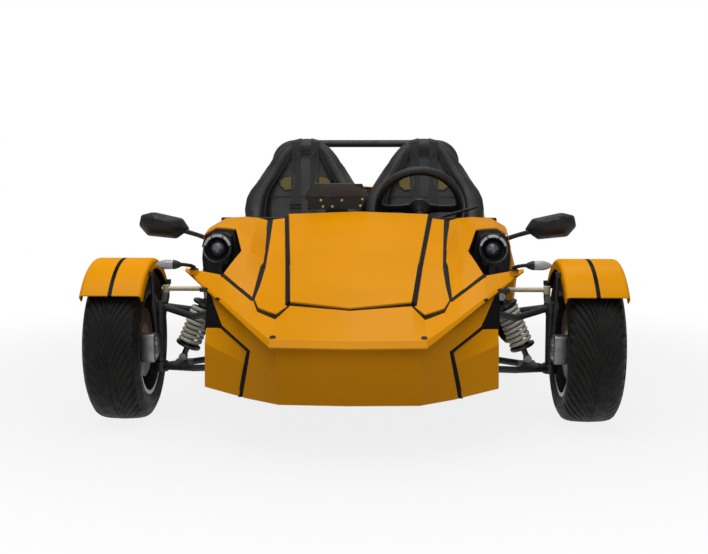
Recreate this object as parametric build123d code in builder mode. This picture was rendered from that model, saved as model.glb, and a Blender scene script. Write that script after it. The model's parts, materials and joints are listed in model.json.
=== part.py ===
from build123d import *

import os
from math import cos, pi, radians, sin, sqrt, tan

# An electric two-seat trike with two steered front wheels and one driven rear wheel.
# Millimetres. The nose points to -Y, the vehicle's left side to +X, and the floor is at Z = 0.

# Overall sizes
OVERALL_LENGTH = 2900.0
OVERALL_WIDTH = 1700.0
FRONT_OVERHANG = 600.0
REAR_OVERHANG = 320.0
WHEELBASE = OVERALL_LENGTH - FRONT_OVERHANG - REAR_OVERHANG
FRONT_AXLE_Y = FRONT_OVERHANG - OVERALL_LENGTH / 2
REAR_AXLE_Y = FRONT_AXLE_Y + WHEELBASE
HOOP_TO_AXLE = 338.0
# Where the distances aft in this file put the cockpit's front, the roll hoop and the rear axle.
# They stretch between these marks when the sizes above change
MARKS = (700.0, 1642.0, 1980.0)

# Walls and clearances
PANEL_WALL = 5.0
SEAT_GAP = 0.3
RUNNING_GAP = 0.05
PLATE_WALL = 4.0
POST_RADIUS = 6.0

# Front wheels
FRONT_TYRE_RADIUS = 252.5
FRONT_TYRE_WIDTH = 178.0
FRONT_RIM_RADIUS = 165.0
FRONT_SPOKES = 5
FENDER_WIDTH = 196.0
FENDER_GAP = 20.0
FENDER_WALL = 5.0
FENDER_CORNER = 14.0
FENDER_SKIRT = 34.0
FENDER_START = 35.0
FENDER_SWEEP = 105.0
FENDER_RADIUS = FRONT_TYRE_RADIUS + FENDER_GAP + FENDER_WALL
FRONT_WHEEL_X = OVERALL_WIDTH / 2 - FENDER_WIDTH / 2
FENDER_INNER_X = FRONT_WHEEL_X - FENDER_WIDTH / 2
SPINDLE_RADIUS = 17.5
BRAKE_DISC_RADIUS = 112.0
BRAKE_DISC_WALL = 5.0
BRAKE_DISC_INSET = 60.0
DISC_HOLES = 12
DISC_X = FRONT_WHEEL_X - BRAKE_DISC_INSET
HUB_RADIUS = 40.0
HUB_FACE_X = 44.0
HUB_BACK_X = -48.0

# Steering
KINGPIN_INSET = 112.0
KINGPIN_X = FRONT_WHEEL_X - KINGPIN_INSET
KINGPIN_RADIUS = 17.0
LOWER_BALL_Z = 172.0
UPPER_BALL_Z = 372.0
STEERING_ARM = 100.0
TIE_ROD_Z = 418.0
TIE_ROD_RADIUS = 8.0
TIE_ARM_TOP = TIE_ROD_Z - 14.0
ROD_END_RADIUS = 12.0
RACK_RADIUS = 11.0
RACK_BAR_X = 236.0
RACK_TUBE_X = 180.0
RACK_TUBE_RADIUS = 17.0
BALL_STUD_RADIUS = 8.0
ARM_EYE_RADIUS = 24.0
ARM_EYE_HEIGHT = 32.0

# Suspension arms and dampers
ARM_TUBE_RADIUS = 11.0
ARM_PIVOT_X = 335.0
ARM_PIVOT_SPREAD = 130.0
PIVOT_RADIUS = 16.0
PIVOT_LENGTH = 44.0
LOWER_PIVOT_Z = 196.0
UPPER_PIVOT_Z = 390.0
UPPER_ARM_DIP = 34.0
LOWER_ARM_DIP = 5.0
DAMPER_FOOT_INSET = 74.0
DAMPER_FOOT_X = KINGPIN_X - DAMPER_FOOT_INSET
DAMPER_PLATE_Z = 190.0
DAMPER_HEAD_INSET = 162.0
DAMPER_HEAD_X = KINGPIN_X - DAMPER_HEAD_INSET
DAMPER_HEAD_Z = 408.0
EYE_RADIUS = 13.0
EYE_LENGTH = 30.0
SPRING_RADIUS = 33.0
SPRING_WIRE = 6.5
SPRING_TURNS = 7
COIL_STEPS = 12

# Rear wheel, swing arm and number plate
REAR_TYRE_RADIUS = 293.0
REAR_TYRE_WIDTH = 205.0
REAR_RIM_RADIUS = 190.0
REAR_SPOKES = 7
HUB_MOTOR_RADIUS = 122.0
HUB_MOTOR_WIDTH = 118.0
REAR_AXLE_RADIUS = 14.0
SWING_ARM_X = 138.0
SWING_ARM_WALL = 30.0
SWING_PIVOT_AFT = 1612.0
SWING_PIVOT_Z = 290.0
PIVOT_TUBE_X = 164.7
PIVOT_TUBE_RADIUS = 22.0
SHOCK_HEAD_AFT = 1630.0
SHOCK_HEAD_Z = 560.0
REAR_FENDER_WIDTH = 224.0
REAR_FENDER_START = -15.0
REAR_FENDER_SWEEP = 105.0
REAR_STAY_ANGLE = 55.0
PLATE_AFT = 2280.0
PLATE_Z = 480.0
PLATE_WIDTH = 200.0
PLATE_HEIGHT = 110.0
PLATE_BOLT_SPACING = 145.0
PLATE_BOLT_RADIUS = 3.25
# Side outline of a swing arm beam. Columns: distance aft, height
SWING_ARM_SIDE = [
    (1592, 262),
    (1640, 262),
    (1990, 268),
    (2006, 293),
    (1990, 318),
    (1640, 322),
    (1592, 318),
]

# Chassis
RAIL_SIZE = 40.0
RAIL_X = 240.0
RAIL_BOTTOM = 120.0
RAIL_TOP = RAIL_BOTTOM + RAIL_SIZE
RAIL_FRONT_AFT = -290.0
RAIL_REAR_AFT = 1660.0
POST_WIDTH = 30.0
POST_DEPTH = 24.0
POST_X = ARM_PIVOT_X - PIVOT_RADIUS - SEAT_GAP - POST_WIDTH / 2
LOW_BEAM_TOP = 190.0
BEAM_TOP = 430.0
BRACKET_LOW = DAMPER_HEAD_Z + EYE_RADIUS + SEAT_GAP
BRACKET_HIGH = BRACKET_LOW + 12
BRACKET_REAR = 84.0
NOSE_BEAM_FRONT = -428.0
NOSE_BEAM_REAR = -392.0
NOSE_BEAM_TOP = 340.0
REAR_BEAM_FRONT = 1600.0
REAR_BEAM_REAR = 1664.0
REAR_BEAM_X = 450.0
REAR_BEAM_TOP = 196.0
UPRIGHT_INNER = PIVOT_TUBE_X + SEAT_GAP
UPRIGHT_OUTER = UPRIGHT_INNER + 30
SHOCK_BEAM_TOP = 612.0
TOW_EYE_X = 300.0
TOW_EYE_Z = 178.0
TOW_EYE_RADIUS = 15.0
TOW_EYE_WALL = 10.0
HOOP_TUBE_RADIUS = 17.0
HOOP_X = 425.0
HOOP_TOP_Z = 935.0
HOOP_AFT = MARKS[1]
HOOP_BEND = 90.0
BATTERY_X = 215.0
BATTERY_FRONT = -310.0
BATTERY_REAR = 75.0
BATTERY_HEIGHT = 190.0

# Cockpit
TUB_WALL = 8.0
TUB_HEIGHT = 175.0
TUB_HALF_WIDTH = 530.0
TUB_REAR_AFT = 1540.0
BULKHEAD_TOP = 700.0
# Columns: distance aft, half width of the tub
TUB_PLAN = [(162, 318), (400, 500), (600, TUB_HALF_WIDTH), (TUB_REAR_AFT, TUB_HALF_WIDTH)]
PEDAL_XS = (178.0, 268.0)
PEDAL_AFT = 215.0
PEDAL_Z = 300.0
SEAT_X = 272.0
SEAT_LEAN = 20.0
SEAT_PADDING = 70.0
SEAT_FOOT_AFT = 1270.0
SEAT_FOOT_Z = 250.0
CUSHION_HALF = 245.0
# Columns: distance aft, height of the bolsters, height of the pan
CUSHION = [(950, 318, 296), (1005, 352, 322), (1330, 348, 288)]
# Columns: height, half width, depth of the bolsters, width of the bolsters
SEAT_BACK = [
    (230, 238, 120, 52),
    (420, 250, 160, 60),
    (575, 256, 168, 70),
    (690, 266, 140, 72),
    (760, 226, 104, 62),
    (830, 172, 86, 46),
    (900, 134, 82, 36),
    (945, 92, 80, 24),
    (962, 60, 78, 16),
]
STRAP_X = 42.0
STRAP_WIDTH = 44.0
STRAP_WALL = 4.0
STRAP_LOW = 420.0
STRAP_HIGH = 880.0
CLIP_Z = 520.0
STEERING_WHEEL_X = 228.0
STEERING_WHEEL_AFT = 650.0
STEERING_WHEEL_Z = 668.0
STEERING_WHEEL_RADIUS = 175.0
STEERING_GRIP_RADIUS = 17.0
STEERING_RAKE = 25.0
COLUMN_RADIUS = 14.0
COLUMN_LENGTH = 180.0
SLEEVE_RADIUS = 26.0
WHEEL_HUB_RADIUS = 44.0
WHEEL_SPOKES = (0, 90, 180)
DASH_HALF_WIDTH = 505.0
DASH_SHOULDER = 600.0
DASH_REAR = 530.0
# Side outline of the dashboard. Columns: distance aft, height
DASH_SIDE = [
    (435, 470),
    (DASH_REAR, 490),
    (DASH_REAR, 615),
    (505, 640),
    (456, 640),
    (456, DASH_SHOULDER),
    (435, DASH_SHOULDER),
]
POD_X = -83.0
POD_INSET = 40.0
POD_AFT = DASH_REAR - POD_INSET
POD_DEPTH = 45.0
# Front outline of the display pod. Columns: x, height
POD_OUTLINE = [(-170, 672), (6, 672), (35, 716), (12, 764), (-172, 764), (-200, 716)]

# Hood. Columns: distance aft, half width, edge height, centre height
HOOD = [(-420, 172, 411, 415), (-50, 207, 515, 521), (450, 255, 655, 664)]
HOOD_TRIM = [(-300, -308), (-178, -345), (0, -400), (178, -345), (300, -308), (300, 600), (-300, 600)]
# Strips beside the hood. Columns: distance aft, inner x, inner height, outer x, outer height
HOOD_STRIP = [(-420, 182, 398, 300, 377), (-50, 216, 510, 288, 505), (450, 264, 640, 318, 634)]
STRIP_TRIM = [
    (150, -340),
    (187, -352),
    (217, -390),
    (276, -330),
    (297, -262),
    (420, -262),
    (420, 600),
    (150, 600),
]
# Cowls. Columns: distance aft, outer points from the inner edge over the top to the side
FRONT_COWL = [
    (-280, [(303, 424), (340, 430), (380, 436), (420, 440), (440, 432), (446, 420)]),
    (-150, [(300, 470), (345, 486), (400, 495), (450, 497), (475, 488), (482, 470)]),
    (0, [(297, 520), (345, 550), (400, 568), (460, 570), (490, 558), (500, 530)]),
    (120, [(304, 553), (345, 592), (405, 622), (470, 624), (508, 604), (520, 560)]),
    (300, [(316, 598), (355, 622), (410, 638), (480, 636), (524, 612), (537, 560)]),
    (450, [(327, 630), (365, 640), (415, 645), (485, 640), (534, 612), (550, 560)]),
]
COWL_TRIM = [
    (280, -262),
    (302, -262),
    (405, -150),
    (368, -5),
    (402, 115),
    (485, 128),
    (530, 110),
    (620, 110),
    (620, 600),
    (280, 600),
]
# Nose panel. Columns: x, then aft and height of the lip, the crease and the back edge
NOSE = [
    (0, -600, 334, -583, 352, -409, 413),
    (178, -584, 334, -567, 352, -354, 423),
    (217, -580, 334, -563, 352, -400, 391),
    (276, -490, 364, -475, 378, -339, 404),
    (294, -462, 373, -448, 386, -279, 425),
    (405, -289, 430, -277, 440, -160, 490),
    (540, -79, 499, -73, 501, -66, 504),
]
NOSE_POST_AFT = -410.0
NOSE_POST_Z = 402.5
# Apron. Columns: x, then aft and height of the top, the fold and the bottom
APRON = [
    (0, -560, 326, -548, 240, -515, 156),
    (200, -540, 326, -536, 240, -503, 156),
    (300, -427, 365, -432, 260, -425, 157),
    (440, -209, 436, -315, 300, -325, 170),
]
APRON_CENTRE = [(318, 140), (286, 301), (386, 356), (446, 452), (446, 600)]
APRON_CORNER = [(330, 140), (297, 298), (392, 347), (500, 335), (500, 140)]
APRON_POST_AFT = -542.0
CORNER_POST_AFT = -391.5
# Side pods. Columns: distance aft, then x and height of the top, the waist and the sill
SIDE_POD = [
    (330, 541, 550, 556, 420, 540, 200),
    (480, 553, 556, 585, 430, 560, 190),
    (800, 560, 470, 600, 400, 575, 180),
    (1150, 560, 440, 600, 390, 575, 180),
    (1420, 560, 520, 592, 420, 565, 185),
    (1560, 555, 620, 575, 430, 550, 200),
]
# Rear fairings. Columns: distance aft, outer points from the inner sill round to the inner top
REAR_FAIRING = [
    (1575, [(205, 430), (545, 215), (572, 430), (535, 660), (440, 740), (205, 720)]),
    (1800, [(199, 470), (470, 330), (505, 470), (455, 660), (380, 715), (199, 700)]),
    (2000, [(196, 560), (370, 440), (400, 530), (360, 640), (310, 680), (196, 672)]),
    (2160, [(194, 590), (270, 530), (290, 570), (265, 625), (235, 650), (194, 645)]),
]
FAIRING_POST_Z = 380.0
# Rear deck. Columns: distance aft, half width, edge height, centre height
REAR_DECK = [(1575, 196, 722, 735), (1900, 190, 690, 705), (2158, 185, 642, 655)]
DECK_SLOTS = 6
DECK_SLOT_INSET = 145.0
DECK_SLOT_TAIL = 128.0
DECK_SLOT_LENGTH = 240.0
TAIL_AFT = 2160.3
TAIL_WALL = 10.0
TAIL = [(150, 592), (165, 532), (272, 530), (292, 570), (267, 627), (237, 652), (0, 654)]
TAIL_LAMP_X = 224.0
TAIL_LAMP_Z = 586.0
TAIL_LAMP_RADIUS = 40.0

# Lamps and mirrors
HEADLAMP_X = 452.0
HEADLAMP_Z = 560.0
HEADLAMP_AFT = 50.0
HEADLAMP_DEPTH = 55.0
BEZEL_RADIUS = 46.0
BEZEL_DEPTH = 30.0
PROJECTOR_RADIUS = 27.0
# Front outline of a headlamp housing. Columns: x, height
HEADLAMP = [(408, 545), (412, 598), (430, 608), (478, 606), (500, 590), (504, 535), (480, 505), (425, 505)]
SIGNAL_FOOT_X = 505.0
SIGNAL_FOOT_AFT = -116.0
SIGNAL_FOOT_Z = 503.0
SIGNAL_AFT = -168.0
SIGNAL_Z = 524.0
# Leaf outline of a turn signal. Columns: x, radius
SIGNAL_LEAF = [(535, 4), (555, 13), (585, 15), (606, 9), (616, 2)]
MIRROR_ARM_RADIUS = 8.0
# Front outline of a mirror head. Columns: x, height
MIRROR_HEAD = [(575, 612), (600, 650), (700, 672), (742, 662), (750, 625), (720, 590), (620, 580)]
# Columns: distance aft, scale of the outline about its middle
MIRROR_SECTIONS = [(160, 0.72), (190, 1.0), (222, 0.94)]


def aft(distance):
    """The Y of a place at this distance behind the front axle, stretched between the marks."""
    places = (MARKS[0], WHEELBASE - HOOP_TO_AXLE, WHEELBASE)
    if distance <= MARKS[0]:
        return FRONT_AXLE_Y + distance
    for low, high, start, end in zip(MARKS, MARKS[1:], places, places[1:]):
        if distance <= high:
            return FRONT_AXLE_Y + start + (distance - low) * (end - start) / (high - low)
    return REAR_AXLE_Y + distance - MARKS[2]


MIRROR_FOOT = (490, aft(140), 578)
MIRROR_NECK = (600, aft(195), 606)
STALK = [(238, aft(545), 618), (330, aft(575), 645), (450, aft(592), 678)]


def bar(start, end, radius, mode=Mode.ADD):
    """Adds a round bar between two points to the part being built, or cuts it away."""
    along = Vector(*end) - Vector(*start)
    with Locations(Plane(origin=Vector(*start), z_dir=along)):
        Cylinder(radius, along.length, align=(Align.CENTER, Align.CENTER, Align.MIN), mode=mode)


def block(low, high, mode=Mode.ADD):
    """Adds a box between two corners to the part being built, or cuts it away."""
    size = [b - a for a, b in zip(low, high)]
    with Locations(low):
        Box(*size, align=(Align.MIN, Align.MIN, Align.MIN), mode=mode)


def between(low, high, share):
    """The point that lies this share of the way from one point to another."""
    return tuple(a + (b - a) * share for a, b in zip(low, high))


def skin_height(stations, x, distance):
    """The height of a lofted panel's outer face over a place in plan."""
    for (front, first), (rear, last) in zip(stations, stations[1:]):
        if front <= distance <= rear:
            share = (distance - front) / (rear - front)
            section = [between(a, b, share) for a, b in zip(first, last)]
            for left, right in zip(section, section[1:]):
                if left[0] <= x <= right[0]:
                    return between(left, right, (x - left[0]) / (right[0] - left[0]))[1]
    raise ValueError("no panel over this place")


def post(stations, x, distance, floor):
    """Adds a foot that carries a panel on a flat top of the frame."""
    top = skin_height(stations, x, distance) - PANEL_WALL / 2
    bar((x, aft(distance), floor + SEAT_GAP), (x, aft(distance), top), POST_RADIUS)


def seat_front(z):
    """How far aft the front of a seat's back lies at a height."""
    return SEAT_FOOT_AFT + (z - SEAT_FOOT_Z) * tan(radians(SEAT_LEAN))


def shrunk(outline, scale):
    """An outline scaled about the middle of its box."""
    xs = [x for x, z in outline]
    zs = [z for x, z in outline]
    middle = ((min(xs) + max(xs)) / 2, (min(zs) + max(zs)) / 2)
    return [between(middle, point, scale) for point in outline]


def inward(points, wall):
    """The points of an outer face moved by one wall towards their middle."""
    middle = sum((Vector(*point) for point in points), Vector()) / len(points)
    steps = [(middle - Vector(*point)).normalized() * wall for point in points]
    return [(x + step.X, z + step.Y) for (x, z), step in zip(points, steps)]


def sheet_along_y(stations, wrapped=False):
    """A bent panel lofted from front to back. A station holds its distance aft and its outer points."""
    with BuildPart() as sheet:
        for distance, outer in stations:
            inner = inward(outer, PANEL_WALL) if wrapped else [(x, z - PANEL_WALL) for x, z in outer]
            with BuildSketch(Plane.XZ.offset(-aft(distance))):
                Polygon(*outer, *reversed(inner), align=None)
        loft(ruled=True)
    return sheet.part


def sheet_along_x(stations, shift):
    """A bent panel lofted from side to side. A station holds its x and its outer points."""
    with BuildPart() as sheet:
        for x, outer in stations:
            inner = [(distance + shift[0], z + shift[1]) for distance, z in outer]
            with BuildSketch(Plane.YZ.offset(x)):
                Polygon(*[(aft(d), z) for d, z in [*outer, *reversed(inner)]], align=None)
        loft(ruled=True)
    return sheet.part


def plan_prism(outline):
    """A tall prism over an outline of x and aft, used to trim panels in plan."""
    with BuildPart() as prism:
        with BuildSketch(Plane.XY):
            Polygon(*[(x, aft(distance)) for x, distance in outline], align=None)
        extrude(amount=OVERALL_LENGTH / 2)
    return prism.part


def front_prism(outline):
    """A long prism behind an outline of x and height, used to trim panels in front view."""
    with BuildPart() as prism:
        with BuildSketch(Plane.XZ.offset(OVERALL_LENGTH / 2)):
            Polygon(*outline, align=None)
        extrude(amount=-OVERALL_LENGTH)
    return prism.part


PIECES = {}


def keep(name, shape):
    """Labels a finished piece and keeps it for export."""
    shape.label = name
    PIECES[name] = shape


def keep_pair(name, left):
    """Keeps a left-hand piece and its mirror image on the right."""
    keep(f"{name}_left", left)
    with BuildPart() as right:
        add(mirror(left, about=Plane.YZ, mode=Mode.PRIVATE))
    keep(f"{name}_right", right.part)


def wheel_plane(x, y, z):
    """A sketch plane through a wheel's axle: local x runs along the axle and local y along the radius."""
    return Plane(origin=(x, y, z), x_dir=(1, 0, 0), z_dir=(0, -1, 0))


# Tyres: a crowned tread, round shoulders and a bead that sits between the rim's flanges
BEAD_SEAT = 12.0
TYRE_WALL = 11.0


def tyre(x, y, radius, width, rim_radius):
    half = width / 2
    bead = half - 14
    outer = [
        (bead, rim_radius),
        (bead, rim_radius + BEAD_SEAT),
        (half - 2, rim_radius + BEAD_SEAT + 12),
        (half, (rim_radius + radius) / 2 + 6),
        (half - 5, radius - 24),
        (half - 20, radius - 7),
        (half - 46, radius - 1.5),
    ]
    inner = [
        (half - 46, radius - TYRE_WALL),
        (half - 15, radius - TYRE_WALL - 12),
        (half - TYRE_WALL, (rim_radius + radius) / 2),
        (bead - TYRE_WALL, rim_radius),
    ]
    outside = [*outer, (0, radius), *[(-a, r) for a, r in reversed(outer)]]
    hollow = [*[(-a, r) for a, r in reversed(inner)], *inner]
    with BuildPart() as ring:
        with BuildSketch(wheel_plane(x, y, radius)):
            Polygon(*outside, *hollow, align=None)
        revolve(axis=Axis((x, y, radius), (1, 0, 0)))
    return ring.part


# Rims: a flanged barrel, a spoked face, a bored hub and, at the front, a drilled brake disc
RIM_WALL = 6.0
RIM_FLANGE = 4.0
SPOKE_DEPTH = 26.0
SPOKE_ROOT = 44.0
SPOKE_TIP = 50.0


def rim(x, y, z, radius, tyre_width, spokes, hub_radius, bore, face_x, hub_back_x, disc_radius):
    half = tyre_width / 2 - 14 + SEAT_GAP
    barrel = [
        (half + RIM_FLANGE, radius + BEAD_SEAT - 2),
        (half, radius + BEAD_SEAT - 2),
        (half, radius - SEAT_GAP),
        (-half, radius - SEAT_GAP),
        (-half, radius + BEAD_SEAT - 2),
        (-half - RIM_FLANGE, radius + BEAD_SEAT - 2),
        (-half - RIM_FLANGE, radius - RIM_WALL),
        (half + RIM_FLANGE, radius - RIM_WALL),
    ]
    face = Plane(origin=(x + face_x, y, z), x_dir=(0, 1, 0), z_dir=(1, 0, 0))
    back = Plane(origin=(x + hub_back_x, y, z), x_dir=(0, 1, 0), z_dir=(1, 0, 0))
    root = (bore + hub_radius) / 2
    tip = radius - RIM_WALL / 2
    reach = (tip - root) / 2
    with BuildPart() as wheel:
        with BuildSketch(wheel_plane(x, y, z)):
            Polygon(*barrel, align=None)
        revolve(axis=Axis((x, y, z), (1, 0, 0)))
        with BuildSketch(face):
            with PolarLocations((root + tip) / 2, spokes, start_angle=90):
                Polygon(
                    (-reach, -SPOKE_ROOT / 2),
                    (reach, -SPOKE_TIP / 2),
                    (reach, SPOKE_TIP / 2),
                    (-reach, SPOKE_ROOT / 2),
                    align=None,
                )
        extrude(amount=-SPOKE_DEPTH)
        with BuildSketch(back):
            Circle(hub_radius)
        extrude(amount=face_x - hub_back_x)
        if disc_radius:
            disc = back.offset(DISC_X - x - hub_back_x)
            with BuildSketch(disc):
                Circle(disc_radius)
                with PolarLocations(disc_radius - 22, DISC_HOLES):
                    Circle(6, mode=Mode.SUBTRACT)
            extrude(amount=BRAKE_DISC_WALL)
            with BuildSketch(disc):
                Circle(hub_radius + 8)
            extrude(amount=x + hub_back_x - DISC_X)
        with BuildSketch(face):
            Circle(bore)
        extrude(amount=-face_x + hub_back_x - BRAKE_DISC_INSET, mode=Mode.SUBTRACT)
    return wheel


keep_pair(
    "front_tyre",
    tyre(FRONT_WHEEL_X, FRONT_AXLE_Y, FRONT_TYRE_RADIUS, FRONT_TYRE_WIDTH, FRONT_RIM_RADIUS),
)
keep_pair(
    "front_rim",
    rim(
        FRONT_WHEEL_X,
        FRONT_AXLE_Y,
        FRONT_TYRE_RADIUS,
        FRONT_RIM_RADIUS,
        FRONT_TYRE_WIDTH,
        FRONT_SPOKES,
        HUB_RADIUS,
        SPINDLE_RADIUS + RUNNING_GAP,
        HUB_FACE_X,
        HUB_BACK_X,
        BRAKE_DISC_RADIUS,
    ).part,
)

# Knuckles: an upright on the kingpin axis with studs, spindle, steering arm, caliper and fender stays
UPRIGHT_LOW = LOWER_BALL_Z + ARM_EYE_HEIGHT / 2 + SEAT_GAP
UPRIGHT_HIGH = UPPER_BALL_Z - ARM_EYE_HEIGHT / 2 - SEAT_GAP
SPINDLE_END = FRONT_WHEEL_X + HUB_FACE_X - 4
STAY_PAD_RADIUS = FENDER_RADIUS - FENDER_SKIRT + 8
STAY_RADIUS = 6.0
STAY_X = FENDER_INNER_X - STAY_RADIUS - 2
# Columns: distance aft of a stay's pad, distance aft and height of its root
FENDER_STAYS = [(-90, -63, FRONT_TYRE_RADIUS + 12), (175, 20, FRONT_TYRE_RADIUS + 10)]
CALIPER_AFT = -106.0
CALIPER_LENGTH = 58.0
CALIPER_HEIGHT = 88.0
CALIPER_BRIDGE = 12.0
CALIPER_SLOT = 6.0
CALIPER_INNER_X = KINGPIN_X - 6
CALIPER_OUTER_X = DISC_X + BRAKE_DISC_WALL + 24
caliper_front = CALIPER_AFT - CALIPER_LENGTH / 2
with BuildPart() as knuckle:
    with BuildSketch(Plane.YZ.offset(CALIPER_INNER_X)):
        with Locations((aft(CALIPER_AFT), FRONT_TYRE_RADIUS)):
            RectangleRounded(CALIPER_LENGTH, CALIPER_HEIGHT, 12)
    extrude(amount=CALIPER_OUTER_X - CALIPER_INNER_X)
    block(
        (DISC_X - CALIPER_SLOT, aft(caliper_front + CALIPER_BRIDGE), 0),
        (DISC_X + BRAKE_DISC_WALL + CALIPER_SLOT, aft(0), 2 * FRONT_TYRE_RADIUS),
        mode=Mode.SUBTRACT,
    )
    bar(
        (KINGPIN_X, FRONT_AXLE_Y, UPRIGHT_LOW),
        (KINGPIN_X, FRONT_AXLE_Y, UPRIGHT_HIGH),
        KINGPIN_RADIUS,
    )
    bar(
        (KINGPIN_X, FRONT_AXLE_Y, LOWER_BALL_Z - ARM_EYE_HEIGHT / 2),
        (KINGPIN_X, FRONT_AXLE_Y, UPPER_BALL_Z + ARM_EYE_HEIGHT / 2),
        BALL_STUD_RADIUS,
    )
    bar(
        (KINGPIN_X, FRONT_AXLE_Y, FRONT_TYRE_RADIUS),
        (SPINDLE_END, FRONT_AXLE_Y, FRONT_TYRE_RADIUS),
        SPINDLE_RADIUS,
    )
    bar(
        (KINGPIN_X, FRONT_AXLE_Y, FRONT_TYRE_RADIUS),
        (DISC_X - 14, FRONT_AXLE_Y, FRONT_TYRE_RADIUS),
        SPINDLE_RADIUS + 14,
    )
    with BuildSketch(Plane.YZ.offset(KINGPIN_X)):
        Polygon(
            (aft(-10), UPRIGHT_HIGH - 55),
            (aft(10), UPRIGHT_HIGH - 62),
            (aft(STEERING_ARM + 14), TIE_ARM_TOP - 14),
            (aft(STEERING_ARM + 14), TIE_ARM_TOP),
            (aft(STEERING_ARM - 16), TIE_ARM_TOP),
            (aft(10), UPRIGHT_HIGH - 24),
            (aft(-10), UPRIGHT_HIGH - 18),
            align=None,
        )
    extrude(amount=9, both=True)
    with BuildSketch(Plane.YZ.offset(KINGPIN_X - 6)):
        Polygon(
            (aft(0), FRONT_TYRE_RADIUS - 34),
            (aft(0), FRONT_TYRE_RADIUS + 34),
            (aft(CALIPER_AFT), FRONT_TYRE_RADIUS + 26),
            (aft(CALIPER_AFT), FRONT_TYRE_RADIUS - 26),
            align=None,
        )
    extrude(amount=12)
    for distance, root, root_z in FENDER_STAYS:
        pad_z = FRONT_TYRE_RADIUS + sqrt(STAY_PAD_RADIUS**2 - distance**2)
        bar((KINGPIN_X, aft(root), root_z), (STAY_X, aft(distance), pad_z), STAY_RADIUS)
        block(
            (STAY_X - STAY_RADIUS, aft(distance) - 12, pad_z - 8),
            (FENDER_INNER_X - SEAT_GAP, aft(distance) + 12, pad_z + 8),
        )
keep_pair("knuckle", knuckle.part)


# Fenders: a rounded channel swept over the top of a tyre, open below
def fender(centre, radius, width, start, sweep_angle):
    """A fender whose arc starts this many degrees above the rearward level and runs forwards."""
    rise = radians(start)
    half = width / 2
    hem = radius - FENDER_SKIRT
    inner = half - FENDER_WALL
    with BuildPart() as channel:
        with BuildSketch(Plane(origin=centre, x_dir=(1, 0, 0), z_dir=(0, -sin(rise), cos(rise)))):
            with BuildLine():
                FilletPolyline(
                    (-half, hem), (-half, radius), (half, radius), (half, hem), radius=FENDER_CORNER
                )
                Line((half, hem), (inner, hem))
                FilletPolyline(
                    (inner, hem),
                    (inner, radius - FENDER_WALL),
                    (-inner, radius - FENDER_WALL),
                    (-inner, hem),
                    radius=FENDER_CORNER - FENDER_WALL,
                )
                Line((-inner, hem), (-half, hem))
            make_face()
        revolve(axis=Axis(centre, (1, 0, 0)), revolution_arc=sweep_angle)
    return channel.part


keep_pair(
    "front_fender",
    fender(
        (FRONT_WHEEL_X, FRONT_AXLE_Y, FRONT_TYRE_RADIUS),
        FENDER_RADIUS,
        FENDER_WIDTH,
        FENDER_START,
        FENDER_SWEEP,
    ),
)


# Suspension arms: two cranked tubes from the chassis pivots to an eye on the kingpin axis
def wishbone(ball_z, pivot_z, dip, plate):
    eye_low = ball_z - ARM_EYE_HEIGHT / 2
    elbow_x = (KINGPIN_X + ARM_PIVOT_X) / 2 + 30
    elbow_z = (ball_z + pivot_z) / 2 - dip
    with BuildPart() as arm:
        bar(
            (KINGPIN_X, FRONT_AXLE_Y, eye_low),
            (KINGPIN_X, FRONT_AXLE_Y, eye_low + ARM_EYE_HEIGHT),
            ARM_EYE_RADIUS,
        )
        for side in (-1, 1):
            elbow_y = FRONT_AXLE_Y + side * ARM_PIVOT_SPREAD * 0.55
            pivot_y = FRONT_AXLE_Y + side * ARM_PIVOT_SPREAD
            root = (KINGPIN_X - 7, FRONT_AXLE_Y + side * 8, ball_z)
            elbow = (elbow_x, elbow_y, elbow_z)
            bar(root, between(root, elbow, 1.02), ARM_TUBE_RADIUS)
            pivot = (ARM_PIVOT_X, pivot_y, pivot_z)
            bar(between(pivot, elbow, 1.02), pivot, ARM_TUBE_RADIUS)
            bar(
                (ARM_PIVOT_X, pivot_y - PIVOT_LENGTH / 2, pivot_z),
                (ARM_PIVOT_X, pivot_y + PIVOT_LENGTH / 2, pivot_z),
                PIVOT_RADIUS,
            )
        if plate:
            block(
                (DAMPER_FOOT_X - 28, FRONT_AXLE_Y - 46, DAMPER_PLATE_Z - 8),
                (DAMPER_FOOT_X + 28, FRONT_AXLE_Y + 46, DAMPER_PLATE_Z),
            )
        bar(
            (KINGPIN_X, FRONT_AXLE_Y, eye_low - ARM_EYE_HEIGHT),
            (KINGPIN_X, FRONT_AXLE_Y, eye_low + 2 * ARM_EYE_HEIGHT),
            BALL_STUD_RADIUS + RUNNING_GAP,
            mode=Mode.SUBTRACT,
        )
    return arm.part


keep_pair("lower_arm", wishbone(LOWER_BALL_Z, LOWER_PIVOT_Z, LOWER_ARM_DIP, True))
keep_pair("upper_arm", wishbone(UPPER_BALL_Z, UPPER_PIVOT_Z, UPPER_ARM_DIP, False))


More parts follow.
